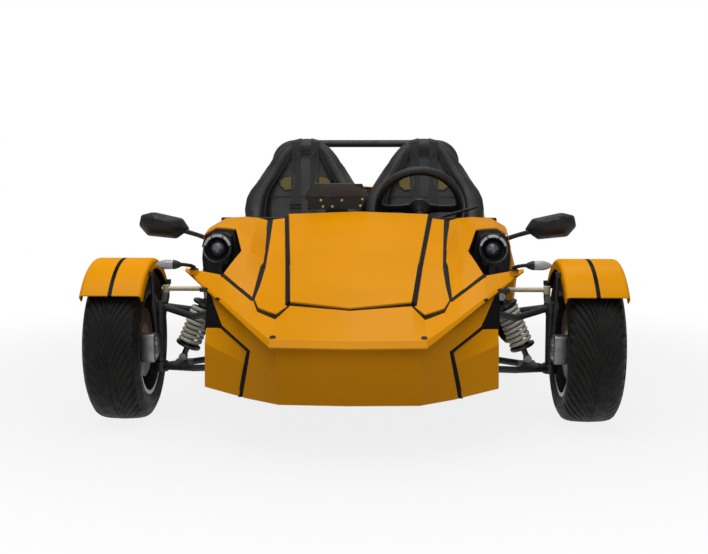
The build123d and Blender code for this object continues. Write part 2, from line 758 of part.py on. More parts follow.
# Dampers with their coil springs: a body, a rod, two spring seats and a wire wound round them
def coil_over(foot, head, coil_radius, wire, turns, across):
    """A spring leg between two eyes whose pins point across."""
    along = Vector(*head) - Vector(*foot)
    length = along.length
    axis = along.normalized()
    side = Vector(*across).normalized()
    third = axis.cross(side)
    base = Vector(*foot)
    low = 0.2 * length
    high = 0.86 * length
    steps = turns * COIL_STEPS
    with BuildPart() as leg:
        for end in (base, base + along):
            bar(end - side * EYE_LENGTH / 2, end + side * EYE_LENGTH / 2, EYE_RADIUS)
        bar(base, base + along, wire * 1.5)
        bar(base + axis * length * 0.5, base + axis * high, coil_radius * 0.62)
        for place in (low, high):
            bar(base + axis * (place - 5), base + axis * (place + 5), coil_radius + wire + 2)
        for step in range(steps + 1):
            angle = 2 * pi * step / COIL_STEPS
            out = side * cos(angle) + third * sin(angle)
            pitch = (high - low) / steps
            run = (third * cos(angle) - side * sin(angle)) * coil_radius * 2 * pi / COIL_STEPS
            centre = base + axis * (low + pitch * step) + out * coil_radius
            with BuildSketch(Plane(origin=centre, x_dir=out, z_dir=run + axis * pitch)):
                RegularPolygon(wire, 6)
        loft(ruled=True)
    return leg.part


keep_pair(
    "front_damper",
    coil_over(
        (DAMPER_FOOT_X, FRONT_AXLE_Y, DAMPER_PLATE_Z + EYE_RADIUS + SEAT_GAP),
        (DAMPER_HEAD_X, FRONT_AXLE_Y, DAMPER_HEAD_Z),
        SPRING_RADIUS,
        SPRING_WIRE,
        SPRING_TURNS,
        (0, 1, 0),
    ),
)

# Rear wheel: a wide tyre on a short-spoked rim whose ring holds the hub motor
keep("rear_tyre", tyre(0, REAR_AXLE_Y, REAR_TYRE_RADIUS, REAR_TYRE_WIDTH, REAR_RIM_RADIUS))
keep(
    "rear_rim",
    rim(
        0,
        REAR_AXLE_Y,
        REAR_TYRE_RADIUS,
        REAR_RIM_RADIUS,
        REAR_TYRE_WIDTH,
        REAR_SPOKES,
        HUB_MOTOR_RADIUS + 12,
        HUB_MOTOR_RADIUS + SEAT_GAP,
        SPOKE_DEPTH / 2,
        -SPOKE_DEPTH / 2,
        0,
    ).part,
)
rear_axle = Plane(
    origin=(-HUB_MOTOR_WIDTH / 2, REAR_AXLE_Y, REAR_TYRE_RADIUS), x_dir=(0, 1, 0), z_dir=(1, 0, 0)
)
with BuildPart() as hub_motor:
    with BuildSketch(rear_axle):
        Circle(HUB_MOTOR_RADIUS)
        Circle(REAR_AXLE_RADIUS + RUNNING_GAP, mode=Mode.SUBTRACT)
    extrude(amount=HUB_MOTOR_WIDTH)
    chamfer(hub_motor.edges().filter_by(GeomType.CIRCLE).group_by(SortBy.RADIUS)[-1], 10)
keep("hub_motor", hub_motor.part)

# Swing arm: two beams, the pivot tube, the axle and the stays of the rear fender
stay_angle = radians(REAR_STAY_ANGLE)
stay_reach = REAR_OVERHANG - FENDER_SKIRT + 9
stay_y = REAR_AXLE_Y + stay_reach * cos(stay_angle)
stay_z = REAR_TYRE_RADIUS + stay_reach * sin(stay_angle)
stay_inner = REAR_FENDER_WIDTH / 2 + SEAT_GAP
with BuildPart() as swing_arm:
    for side in (-1, 1):
        with BuildSketch(Plane.YZ.offset(side * SWING_ARM_X)):
            Polygon(*[(aft(distance), z) for distance, z in SWING_ARM_SIDE], align=None)
        extrude(amount=SWING_ARM_WALL / 2, both=True)
        bar((side * SWING_ARM_X, REAR_AXLE_Y - 10, 300), (side * (stay_inner + 8), stay_y, stay_z), 7)
        with Locations((side * (stay_inner + 6), stay_y, stay_z)):
            Box(12, 26, 18)
    bar(
        (-PIVOT_TUBE_X, aft(SWING_PIVOT_AFT), SWING_PIVOT_Z),
        (PIVOT_TUBE_X, aft(SWING_PIVOT_AFT), SWING_PIVOT_Z),
        PIVOT_TUBE_RADIUS,
    )
    bar(
        (-SWING_ARM_X - 24, REAR_AXLE_Y, REAR_TYRE_RADIUS),
        (SWING_ARM_X + 24, REAR_AXLE_Y, REAR_TYRE_RADIUS),
        REAR_AXLE_RADIUS,
    )
    block(
        (-SWING_ARM_X, aft(SWING_PIVOT_AFT + 10), SWING_PIVOT_Z - 14),
        (SWING_ARM_X, aft(SWING_PIVOT_AFT + 56), SWING_PIVOT_Z + 20),
    )
keep("swing_arm", swing_arm.part)
shock_foot_z = SWING_PIVOT_Z + 20 + EYE_RADIUS + SEAT_GAP
keep(
    "rear_damper",
    coil_over(
        (0, aft(SWING_PIVOT_AFT + 38), shock_foot_z),
        (0, aft(SHOCK_HEAD_AFT), SHOCK_HEAD_Z),
        SPRING_RADIUS,
        SPRING_WIRE,
        SPRING_TURNS,
        (1, 0, 0),
    ),
)

# Rear fender with the upright bracket of the number plate
with BuildPart() as rear_fender:
    add(
        fender(
            (0, REAR_AXLE_Y, REAR_TYRE_RADIUS),
            REAR_OVERHANG,
            REAR_FENDER_WIDTH,
            REAR_FENDER_START,
            REAR_FENDER_SWEEP,
        )
    )
    for side in (-1, 1):
        block(
            (side * 40 - 10, REAR_AXLE_Y + REAR_OVERHANG * 0.8 - 6, 468),
            (side * 40 + 10, aft(PLATE_AFT) + 1, 480),
        )
    with BuildSketch(Plane.XZ.offset(-aft(PLATE_AFT))):
        with Locations((0, PLATE_Z)):
            RectangleRounded(PLATE_WIDTH, PLATE_HEIGHT, 8)
            with GridLocations(PLATE_BOLT_SPACING, 0, 2, 1):
                Circle(PLATE_BOLT_RADIUS, mode=Mode.SUBTRACT)
    extrude(amount=-PLATE_WALL)
keep("rear_fender", rear_fender.part)

# Frame rails: two square tubes under the floor
with BuildPart() as rail:
    block(
        (RAIL_X - RAIL_SIZE / 2, aft(RAIL_FRONT_AFT), RAIL_BOTTOM),
        (RAIL_X + RAIL_SIZE / 2, aft(RAIL_REAR_AFT), RAIL_TOP),
    )
    block(
        (RAIL_X - RAIL_SIZE / 2 + 3, aft(RAIL_FRONT_AFT), RAIL_BOTTOM + 3),
        (RAIL_X + RAIL_SIZE / 2 - 3, aft(RAIL_REAR_AFT), RAIL_TOP - 3),
        mode=Mode.SUBTRACT,
    )
keep_pair("frame_rail", rail.part)

# Front subframe: posts for the arm pivots, crossbeams, damper brackets, nose beam and rack tube
rack_y = aft(STEERING_ARM)
with BuildPart() as subframe:
    for distance in (-ARM_PIVOT_SPREAD, ARM_PIVOT_SPREAD):
        front = aft(distance) - POST_DEPTH / 2
        for side in (-1, 1):
            block(
                (side * POST_X - POST_WIDTH / 2, front, RAIL_TOP),
                (side * POST_X + POST_WIDTH / 2, front + POST_DEPTH, BEAM_TOP),
            )
        block((-POST_X, front, RAIL_TOP), (POST_X, front + POST_DEPTH, LOW_BEAM_TOP))
        block((-POST_X, front, BEAM_TOP - 30), (POST_X, front + POST_DEPTH, BEAM_TOP))
    for side in (-1, 1):
        inner, outer = sorted((side * (POST_X - POST_WIDTH / 2), side * (POST_X + POST_WIDTH / 2)))
        block(
            (inner, aft(-ARM_PIVOT_SPREAD), BRACKET_LOW),
            (outer, aft(BRACKET_REAR), BRACKET_HIGH),
        )
        inner, outer = sorted((side * POST_X, side * (max(DAMPER_HEAD_X, HEADLAMP_X) + 26)))
        block((inner, aft(-26), BRACKET_LOW), (outer, aft(BRACKET_REAR), BRACKET_HIGH))
        block(
            (side * RAIL_X - 18, aft(NOSE_BEAM_FRONT), RAIL_TOP),
            (side * RAIL_X + 18, aft(NOSE_BEAM_REAR), NOSE_BEAM_TOP),
        )
        block(
            (side * RAIL_X - 18, aft(NOSE_BEAM_FRONT), RAIL_TOP),
            (side * RAIL_X + 18, aft(ARM_PIVOT_SPREAD), RAIL_TOP + 16),
        )
    block(
        (-RAIL_X - 18, aft(NOSE_BEAM_FRONT), NOSE_BEAM_TOP - 40),
        (RAIL_X + 18, aft(NOSE_BEAM_REAR), NOSE_BEAM_TOP),
    )
    bar((-RACK_TUBE_X, rack_y, TIE_ROD_Z), (RACK_TUBE_X, rack_y, TIE_ROD_Z), RACK_TUBE_RADIUS)
    for side in (-1, 1):
        block(
            (side * 120 - 20, rack_y, TIE_ROD_Z - 12),
            (side * 120 + 20, aft(ARM_PIVOT_SPREAD), TIE_ROD_Z + 12),
        )
    bar(
        (-RACK_TUBE_X - 5, rack_y, TIE_ROD_Z),
        (RACK_TUBE_X + 5, rack_y, TIE_ROD_Z),
        RACK_RADIUS + RUNNING_GAP,
        mode=Mode.SUBTRACT,
    )
keep("front_subframe", subframe.part)

# Steering rack: one bar with a tie rod and a rod end on each side
with BuildPart() as rack:
    bar((-RACK_BAR_X, rack_y, TIE_ROD_Z), (RACK_BAR_X, rack_y, TIE_ROD_Z), RACK_RADIUS)
    bar((-KINGPIN_X, rack_y, TIE_ROD_Z), (KINGPIN_X, rack_y, TIE_ROD_Z), TIE_ROD_RADIUS)
    for side in (-1, 1):
        bar(
            (side * KINGPIN_X, rack_y, TIE_ARM_TOP + SEAT_GAP),
            (side * KINGPIN_X, rack_y, TIE_ROD_Z + 12),
            ROD_END_RADIUS,
        )
keep("steering_rack", rack.part)

# Rear frame: base beam, uprights with the swing arm's pivot, shock beam and tow eye
with BuildPart() as rear_frame:
    block(
        (-REAR_BEAM_X, aft(REAR_BEAM_FRONT), RAIL_TOP),
        (REAR_BEAM_X, aft(REAR_BEAM_REAR), REAR_BEAM_TOP),
    )
    for side in (-1, 1):
        inner, outer = sorted((side * UPRIGHT_INNER, side * UPRIGHT_OUTER))
        block(
            (inner, aft(SWING_PIVOT_AFT - 26), RAIL_TOP + 4),
            (outer, aft(SWING_PIVOT_AFT + 28), SHOCK_BEAM_TOP),
        )
    block(
        (-UPRIGHT_OUTER, aft(SWING_PIVOT_AFT - 12), SHOCK_HEAD_Z + EYE_RADIUS + SEAT_GAP),
        (UPRIGHT_OUTER, aft(SWING_PIVOT_AFT + 28), SHOCK_BEAM_TOP),
    )
    with BuildSketch(Plane.YZ.offset(TOW_EYE_X)):
        with Locations((aft(REAR_BEAM_REAR + 20), TOW_EYE_Z)):
            Circle(TOW_EYE_RADIUS + 10)
        with Locations((aft(REAR_BEAM_REAR), TOW_EYE_Z)):
            Rectangle(40, 2 * TOW_EYE_RADIUS + 6)
        with Locations((aft(REAR_BEAM_REAR + 20), TOW_EYE_Z)):
            Circle(TOW_EYE_RADIUS, mode=Mode.SUBTRACT)
    extrude(amount=TOW_EYE_WALL)
keep("rear_frame", rear_frame.part)

# Roll hoop
with BuildPart() as hoop:
    with BuildLine(Plane.XZ.offset(-aft(HOOP_AFT))) as hoop_line:
        FilletPolyline(
            (-HOOP_X, REAR_BEAM_TOP + SEAT_GAP),
            (-HOOP_X, HOOP_TOP_Z),
            (HOOP_X, HOOP_TOP_Z),
            (HOOP_X, REAR_BEAM_TOP + SEAT_GAP),
            radius=HOOP_BEND,
        )
    with BuildSketch(Plane(origin=hoop_line.line @ 0, z_dir=hoop_line.line % 0)):
        Circle(HOOP_TUBE_RADIUS)
    sweep()
keep("roll_hoop", hoop.part)

# Floor tub: a tray with side walls, the rear bulkhead and the pedals
with BuildPart() as tub:
    for inset, low in ((0, RAIL_TOP), (TUB_WALL, RAIL_TOP + TUB_WALL)):
        right = [(half - inset, distance) for distance, half in TUB_PLAN]
        right[0] = (right[0][0], right[0][1] + inset)
        right[-1] = (right[-1][0], right[-1][1] - inset)
        outline = [*right, *[(-x, distance) for x, distance in reversed(right)]]
        with BuildSketch(Plane.XY.offset(low)):
            Polygon(*[(x, aft(distance)) for x, distance in outline], align=None)
        extrude(amount=TUB_HEIGHT, mode=Mode.SUBTRACT if inset else Mode.ADD)
    block(
        (-TUB_HALF_WIDTH, aft(TUB_REAR_AFT - TUB_WALL), RAIL_TOP),
        (TUB_HALF_WIDTH, aft(TUB_REAR_AFT), BULKHEAD_TOP),
    )
    for x in PEDAL_XS:
        bar((x, aft(PEDAL_AFT), RAIL_TOP + 2), (x, aft(PEDAL_AFT + 40), PEDAL_Z), 7)
        with Locations(Location((x, aft(PEDAL_AFT + 44), PEDAL_Z), (-20, 0, 0))):
            Box(52, 10, 84)
keep("floor_tub", tub.part)

# Battery pack on the front crossbeams
with BuildPart() as battery:
    block(
        (-BATTERY_X, aft(BATTERY_FRONT), LOW_BEAM_TOP),
        (BATTERY_X, aft(BATTERY_REAR), LOW_BEAM_TOP + BATTERY_HEIGHT),
    )
    for distance in (BATTERY_FRONT + 60, BATTERY_REAR - 90):
        block(
            (-BATTERY_X, aft(distance), LOW_BEAM_TOP + BATTERY_HEIGHT),
            (BATTERY_X, aft(distance + 30), LOW_BEAM_TOP + BATTERY_HEIGHT + 4),
        )
keep("battery_pack", battery.part)


# Body panels over the nose. Columns: distance aft, half width, edge height, centre height
def crowned(rows):
    return [(aft_of, [(-half, edge), (0, mid), (half, edge)]) for aft_of, half, edge, mid in rows]


hood_rows = crowned(HOOD)
with BuildPart() as hood:
    add(sheet_along_y(hood_rows))
    add(plan_prism(HOOD_TRIM), mode=Mode.INTERSECT)
    for distance in (-ARM_PIVOT_SPREAD, ARM_PIVOT_SPREAD):
        for x in (-150, 150):
            post(hood_rows, x, distance, BEAM_TOP)
keep("hood", hood.part)

strip_rows = [(row[0], [(row[1], row[2]), (row[3], row[4])]) for row in HOOD_STRIP]
with BuildPart() as strip:
    add(sheet_along_y(strip_rows))
    add(plan_prism(STRIP_TRIM), mode=Mode.INTERSECT)
    for distance in (-ARM_PIVOT_SPREAD, ARM_PIVOT_SPREAD):
        post(strip_rows, 262, distance, BEAM_TOP)
keep_pair("hood_strip", strip.part)

with BuildPart() as cowl:
    add(sheet_along_y(FRONT_COWL))
    add(plan_prism(COWL_TRIM), mode=Mode.INTERSECT)
    post(FRONT_COWL, 336, 20, BRACKET_HIGH)
    post(FRONT_COWL, 440, 442, DASH_SHOULDER)
    bar(MIRROR_FOOT, MIRROR_NECK, MIRROR_ARM_RADIUS + SEAT_GAP, mode=Mode.SUBTRACT)
keep_pair("front_cowl", cowl.part)

# Nose panel. Columns: x, then aft and height of the lip, the crease and the back edge
nose_half = [(row[0], [(row[1], row[2]), (row[3], row[4]), (row[5], row[6])]) for row in NOSE]
nose_rows = [*[(-x, points) for x, points in reversed(nose_half[1:])], *nose_half]
with BuildPart() as nose:
    add(sheet_along_x(nose_rows, (3, -PANEL_WALL)))
    for side in (-1, 1):
        bar(
            (side * 150, aft(NOSE_POST_AFT), NOSE_BEAM_TOP + SEAT_GAP),
            (side * 150, aft(NOSE_POST_AFT), NOSE_POST_Z),
            POST_RADIUS,
        )
        block(
            (side * SIGNAL_FOOT_X - 13, aft(SIGNAL_FOOT_AFT) - 11, SIGNAL_FOOT_Z - 16),
            (side * SIGNAL_FOOT_X + 13, aft(SIGNAL_FOOT_AFT) + 11, SIGNAL_FOOT_Z),
        )
keep("nose_panel", nose.part)

# Apron below the nose, split into a centre and two corners by slanting seams
apron_half = [(row[0], [(row[1], row[2]), (row[3], row[4]), (row[5], row[6])]) for row in APRON]
apron_rows = [*[(-x, points) for x, points in reversed(apron_half[1:])], *apron_half]
centre_outline = [*APRON_CENTRE, *[(-x, z) for x, z in reversed(APRON_CENTRE)]]
with BuildPart() as apron:
    add(sheet_along_x(apron_rows, (PANEL_WALL, 0)))
    add(front_prism(centre_outline), mode=Mode.INTERSECT)
    for side in (-1, 1):
        bar(
            (side * 150, aft(APRON_POST_AFT), NOSE_BEAM_TOP - 20),
            (side * 150, aft(NOSE_BEAM_FRONT - SEAT_GAP), NOSE_BEAM_TOP - 20),
            POST_RADIUS,
        )
keep("nose_apron", apron.part)
post_face = -ARM_PIVOT_SPREAD - POST_DEPTH / 2 - SEAT_GAP
with BuildPart() as corner:
    add(sheet_along_x(apron_half, (PANEL_WALL, 0)))
    add(front_prism(APRON_CORNER), mode=Mode.INTERSECT)
    bar((345, aft(CORNER_POST_AFT), 230), (POST_X, aft(post_face - 5), 230), POST_RADIUS)
    block((POST_X - 10, aft(post_face - 8), 220), (POST_X + 10, aft(post_face), 240))
keep_pair("apron_corner", corner.part)


# Side pods. Columns: distance aft, then x and height of the top, the waist and the sill
pod_inner = TUB_HALF_WIDTH + SEAT_GAP
with BuildPart() as pod:
    for distance, top_x, top_z, waist_x, waist_z, sill_x, sill_z in SIDE_POD:
        with BuildSketch(Plane.XZ.offset(-aft(distance))):
            Polygon(
                (pod_inner, sill_z),
                (sill_x, sill_z),
                (waist_x, waist_z),
                (top_x, top_z),
                (pod_inner, top_z),
                align=None,
            )
    loft(ruled=True)
keep_pair("side_pod", pod.part)

# Rear fairings, deck and tail
with BuildPart() as fairing:
    add(sheet_along_y(REAR_FAIRING, wrapped=True))
    bar(
        (HOOP_X, aft(HOOP_AFT), REAR_BEAM_TOP),
        (HOOP_X, aft(HOOP_AFT), HOOP_TOP_Z),
        HOOP_TUBE_RADIUS + 3,
        mode=Mode.SUBTRACT,
    )
    bar(
        (330, aft(HOOP_AFT - 8), REAR_BEAM_TOP + SEAT_GAP),
        (330, aft(HOOP_AFT - 8), FAIRING_POST_Z),
        POST_RADIUS,
    )
keep_pair("rear_fairing", fairing.part)

deck_rows = crowned(REAR_DECK)
with BuildPart() as deck:
    add(sheet_along_y(deck_rows))
    first_slot = REAR_DECK[0][0] + DECK_SLOT_INSET
    slot_step = (REAR_DECK[-1][0] - DECK_SLOT_TAIL - first_slot) / (DECK_SLOTS - 1)
    for place in range(DECK_SLOTS):
        with Locations((0, aft(first_slot + slot_step * place), 680)):
            Box(DECK_SLOT_LENGTH, 16, 200, mode=Mode.SUBTRACT)
    for x in (-120, 120):
        post(deck_rows, x, SWING_PIVOT_AFT + 8, SHOCK_BEAM_TOP)
keep("rear_deck", deck.part)

tail_outline = [*TAIL, *[(-x, z) for x, z in reversed(TAIL)]]
with BuildPart() as tail:
    with BuildSketch(Plane.XZ.offset(-aft(TAIL_AFT))):
        Polygon(*tail_outline, align=None)
    extrude(amount=-TAIL_WALL)
keep("tail_panel", tail.part)
with BuildPart() as tail_lamp:
    with BuildSketch(Plane.XZ.offset(-aft(TAIL_AFT + TAIL_WALL + SEAT_GAP))):
        with Locations((TAIL_LAMP_X, TAIL_LAMP_Z)):
            Circle(TAIL_LAMP_RADIUS)
    extrude(amount=-14)
    chamfer(tail_lamp.faces().sort_by(Axis.Y)[-1].edges(), 4)
keep_pair("tail_lamp", tail_lamp.part)

# Headlamps: a housing on the damper bracket with a bezel and a projector dome
with BuildPart() as headlamp:
    with BuildSketch(Plane.XZ.offset(-aft(HEADLAMP_AFT))):
        Polygon(*HEADLAMP, align=None)
    extrude(amount=-HEADLAMP_DEPTH)
    with BuildSketch(Plane.XZ.offset(-aft(HEADLAMP_AFT + 2))):
        with Locations((HEADLAMP_X, HEADLAMP_Z)):
            Circle(BEZEL_RADIUS)
    extrude(amount=BEZEL_DEPTH)
    with BuildSketch(Plane.XZ.offset(-aft(HEADLAMP_AFT + 2 - BEZEL_DEPTH))):
        with Locations((HEADLAMP_X, HEADLAMP_Z)):
            Circle(BEZEL_RADIUS - 6)
    extrude(amount=-BEZEL_DEPTH * 0.7, mode=Mode.SUBTRACT)
    with Locations((HEADLAMP_X, aft(HEADLAMP_AFT), HEADLAMP_Z)):
        Sphere(PROJECTOR_RADIUS)
    block(
        (HEADLAMP_X - 10, aft(HEADLAMP_AFT + 4), BRACKET_HIGH + SEAT_GAP),
        (HEADLAMP_X + 10, aft(HEADLAMP_AFT + 24), HEADLAMP_Z),
    )
keep_pair("headlamp", headlamp.part)

# Turn signals: a leaf-shaped lens on a short stalk
signal_axis = Plane(origin=(0, aft(SIGNAL_AFT), SIGNAL_Z), x_dir=(1, 0, 0), z_dir=(0, -1, 0))
with BuildPart() as signal:
    with BuildSketch(signal_axis):
        Polygon(*SIGNAL_LEAF, (SIGNAL_LEAF[-1][0], 0), (SIGNAL_LEAF[0][0], 0), align=None)
    revolve(axis=Axis((0, aft(SIGNAL_AFT), SIGNAL_Z), (1, 0, 0)))
    bar(
        (SIGNAL_FOOT_X, aft(SIGNAL_FOOT_AFT), SIGNAL_FOOT_Z + SEAT_GAP),
        (SIGNAL_FOOT_X, aft(SIGNAL_FOOT_AFT), SIGNAL_FOOT_Z + 14),
        7,
    )
    bar(
        (SIGNAL_FOOT_X, aft(SIGNAL_FOOT_AFT), SIGNAL_FOOT_Z + 9),
        (SIGNAL_LEAF[0][0] + 12, aft(SIGNAL_AFT), SIGNAL_Z),
        5,
    )
keep_pair("turn_signal", signal.part)

# Mirrors: a faceted head on an arm that enters the cowl
with BuildPart() as mirror_unit:
    for distance, shrink in MIRROR_SECTIONS:
        with BuildSketch(Plane.XZ.offset(-aft(distance))):
            Polygon(*shrunk(MIRROR_HEAD, shrink), align=None)
    loft(ruled=True)
    bar(MIRROR_FOOT, MIRROR_NECK, MIRROR_ARM_RADIUS)
keep_pair("mirror", mirror_unit.part)

# Dashboard with the steering column's sleeve, the display pod and a stalk
column_axis = Vector(0, cos(radians(STEERING_RAKE)), sin(radians(STEERING_RAKE)))
wheel_centre = Vector(STEERING_WHEEL_X, aft(STEERING_WHEEL_AFT), STEERING_WHEEL_Z)
with BuildPart() as dash:
    with BuildSketch(Plane.YZ):
        Polygon(*[(aft(distance), z) for distance, z in DASH_SIDE], align=None)
    extrude(amount=DASH_HALF_WIDTH, both=True)
    for side in (-1, 1):
        inner, outer = sorted((side * (DASH_HALF_WIDTH - 15), side * (DASH_HALF_WIDTH + 8)))
        block(
            (inner, aft(458), RAIL_TOP + TUB_HEIGHT + SEAT_GAP),
            (outer, aft(500), DASH_SHOULDER - 20),
        )
    with BuildSketch(Plane.XZ.offset(-aft(POD_AFT))):
        Polygon(*POD_OUTLINE, align=None)
    extrude(amount=-POD_DEPTH)
    block((POD_X - 40, aft(POD_AFT + 6), 600), (POD_X + 40, aft(POD_AFT + 30), POD_OUTLINE[0][1] + 10))
    bar(wheel_centre - column_axis * 190, wheel_centre - column_axis * 108, SLEEVE_RADIUS)
    for start, end in zip(STALK, STALK[1:]):
        bar(start, end, 6)
        with Locations(end):
            Sphere(6)
    bar(
        wheel_centre - column_axis * (COLUMN_LENGTH + 6),
        wheel_centre,
        COLUMN_RADIUS + RUNNING_GAP,
        mode=Mode.SUBTRACT,
    )
keep("dashboard", dash.part)

# Steering wheel on its shaft: a grip of eight flats, a hub and three spokes
wheel_face = Plane(origin=wheel_centre, x_dir=(1, 0, 0), z_dir=column_axis)
grip_centre = STEERING_WHEEL_RADIUS - STEERING_GRIP_RADIUS
grip_plane = Plane(origin=wheel_centre, x_dir=(1, 0, 0), z_dir=wheel_face.y_dir * -1)
with BuildPart() as steering_wheel:
    with BuildSketch(grip_plane):
        with Locations((grip_centre, 0)):
            RegularPolygon(STEERING_GRIP_RADIUS, 8, rotation=22.5)
    revolve(axis=Axis(wheel_centre, column_axis))
    with BuildSketch(wheel_face.offset(-10)):
        Circle(WHEEL_HUB_RADIUS)
        for angle in WHEEL_SPOKES:
            with Locations(Location((0, 0, 0), (0, 0, angle))):
                with Locations((grip_centre / 2, 0)):
                    Rectangle(grip_centre, 34)
    extrude(amount=14)
    bar(wheel_centre - column_axis * COLUMN_LENGTH, wheel_centre, COLUMN_RADIUS)
keep("steering_wheel", steering_wheel.part)


# Seats: a bolstered cushion lofted from front to back and a bolstered back lofted upwards
def bucket(half, flat, low, rim_height, pan_height, bolster):
    """The outline of a seat across its width, with a raised bolster on each side."""
    slope = bolster + 34
    return [
        (-half, low),
        (half, low),
        (half, rim_height),
        (half - bolster, rim_height + flat),
        (half - slope, pan_height),
        (slope - half, pan_height),
        (bolster - half, rim_height + flat),
        (-half, rim_height),
    ]


with BuildPart() as seat:
    for distance, rim_z, pan_z in CUSHION:
        with BuildSketch(Plane.XZ.offset(-aft(distance))):
            outline = bucket(CUSHION_HALF, 8, RAIL_TOP + TUB_WALL + SEAT_GAP, rim_z, pan_z, 58)
            Polygon(*[(SEAT_X + x, z) for x, z in outline], align=None)
    loft(ruled=True)
    for z, half, depth, bolster in SEAT_BACK:
        back = aft(seat_front(z)) + SEAT_PADDING
        outline = bucket(half, -10, back, back - depth, back - SEAT_PADDING, bolster)
        with BuildSketch(Plane.XY.offset(z)):
            Polygon(*[(SEAT_X + x, y) for x, y in outline], align=None)
    loft(ruled=True)
keep_pair("seat", seat.part)

# Harnesses: two webbing straps lying on the seat back, joined by a chest clip
def webbing(low, high, wall):
    """The side outline of a band that lies on a seat's back between two heights."""
    near = [(aft(seat_front(z)) - SEAT_GAP, z) for z in (low, high)]
    far = [(aft(seat_front(z)) - SEAT_GAP - wall, z) for z in (high, low)]
    return [*near, *far]


with BuildPart() as harness:
    for side in (-1, 1):
        with BuildSketch(Plane.YZ.offset(SEAT_X + side * STRAP_X)):
            Polygon(*webbing(STRAP_LOW, STRAP_HIGH, STRAP_WALL), align=None)
        extrude(amount=STRAP_WIDTH / 2, both=True)
    with BuildSketch(Plane.YZ.offset(SEAT_X)):
        Polygon(*webbing(CLIP_Z - 14, CLIP_Z + 14, STRAP_WALL + 5), align=None)
    extrude(amount=STRAP_X, both=True)
keep_pair("harness", harness.part)

os.makedirs("parts", exist_ok=True)
for name, shape in PIECES.items():
    export_step(shape, f"parts/{name}.step")
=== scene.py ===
import json
import math

import bmesh
import bpy
from mathutils import Matrix, Vector
from mathutils.bvhtree import BVHTree


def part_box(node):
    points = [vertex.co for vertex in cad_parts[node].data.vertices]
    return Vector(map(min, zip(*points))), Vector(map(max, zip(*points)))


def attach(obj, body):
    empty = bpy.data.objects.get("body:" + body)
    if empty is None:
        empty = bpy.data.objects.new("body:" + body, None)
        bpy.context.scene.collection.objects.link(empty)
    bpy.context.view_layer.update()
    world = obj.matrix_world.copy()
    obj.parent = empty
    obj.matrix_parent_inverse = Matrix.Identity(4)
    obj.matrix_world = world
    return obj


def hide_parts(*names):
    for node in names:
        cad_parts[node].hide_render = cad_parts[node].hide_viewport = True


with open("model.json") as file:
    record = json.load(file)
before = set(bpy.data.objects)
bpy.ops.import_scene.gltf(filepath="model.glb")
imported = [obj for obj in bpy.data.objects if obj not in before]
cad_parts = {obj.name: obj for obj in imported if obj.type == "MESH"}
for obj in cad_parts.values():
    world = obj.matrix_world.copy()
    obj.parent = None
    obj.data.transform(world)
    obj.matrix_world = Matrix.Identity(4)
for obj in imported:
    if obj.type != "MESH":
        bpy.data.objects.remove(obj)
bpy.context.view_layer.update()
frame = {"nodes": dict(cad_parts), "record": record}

bl_info = {
    "name": "Electric trike",
    "version": (1, 0, 0),
    "blender": (4, 5, 0),
    "location": "View3D > Sidebar > Trike",
    "description": "Dresses the trike's frame with paint, seats, tyres, lamps and fittings",
    "category": "Object",
}

NODES = frame["nodes"]
BODY_NODES = frame["record"]["behaviour"]["bodies"]
SIDES = (("left", 1), ("right", -1))
# The front axle's place along the trike, in metres
FRONT_AXLE = -0.850
# Heights of the axles, the rear one's distance aft, and the seats' middle, in millimetres
FRONT_AXLE_Z = 252.5
REAR_AXLE_AFT = 1980
REAR_AXLE_Z = 293
SEAT_X = 272
# Angles from which a new piece keeps a sharp edge, and from which a solid's edge is rounded
CRISP = math.radians(32)
SHARP = math.radians(25)


def at(x, aft, z):
    """A point from millimetres across, behind the front axle, and up."""
    return Vector((x * 0.001, aft * 0.001 + FRONT_AXLE, z * 0.001))


class TrikeColours(bpy.types.PropertyGroup):
    """Colours of the trike's finishes."""

    body: bpy.props.FloatVectorProperty(
        name="Body paint", description="Gloss colour of the panels and fenders", subtype="COLOR",
        size=3, min=0, max=1, default=(0.83, 0.325, 0.001),
    )
    trim: bpy.props.FloatVectorProperty(
        name="Trim", description="Black of the seams, stripes and moulded parts", subtype="COLOR",
        size=3, min=0, max=1, default=(0.008, 0.008, 0.0085),
    )
    leather: bpy.props.FloatVectorProperty(
        name="Leather", description="Colour of the seats and the wheel's grip", subtype="COLOR",
        size=3, min=0, max=1, default=(0.011, 0.0105, 0.0105),
    )
    spring: bpy.props.FloatVectorProperty(
        name="Springs", description="Paint of the coil springs", subtype="COLOR",
        size=3, min=0, max=1, default=(0.80, 0.76, 0.64),
    )


class TrikeSizes(bpy.types.PropertyGroup):
    """Sizes of the details that dress the frame."""

    panel_edge: bpy.props.FloatProperty(
        name="Panel edge", description="Rounding of the body panels' edges",
        default=0.0022, min=0.0002, max=0.01, unit="LENGTH",
    )
    part_edge: bpy.props.FloatProperty(
        name="Part edge", description="Rounding of the metal and plastic parts' edges",
        default=0.0015, min=0.0002, max=0.01, unit="LENGTH",
    )
    tread_depth: bpy.props.FloatProperty(
        name="Tread depth", description="Depth of the grooves in the tyres",
        default=0.006, min=0.001, max=0.012, unit="LENGTH",
    )
    tread_sweep: bpy.props.FloatProperty(
        name="Tread sweep", description="Degrees that a groove runs round the tyre to its shoulder",
        default=46.0, min=0.0, max=60.0,
    )
    seam_height: bpy.props.FloatProperty(
        name="Seam height", description="How far the black channels stand above the panels",
        default=0.0012, min=0.0, max=0.004, unit="LENGTH",
    )
    voxel: bpy.props.FloatProperty(
        name="Pad detail", description="Size of the facets of the padded seats",
        default=0.0055, min=0.004, max=0.012, unit="LENGTH",
    )
    stripe: bpy.props.FloatProperty(
        name="Fender stripe", description="Width of the black stripe over the front fenders",
        default=0.013, min=0.002, max=0.05, unit="LENGTH",
    )


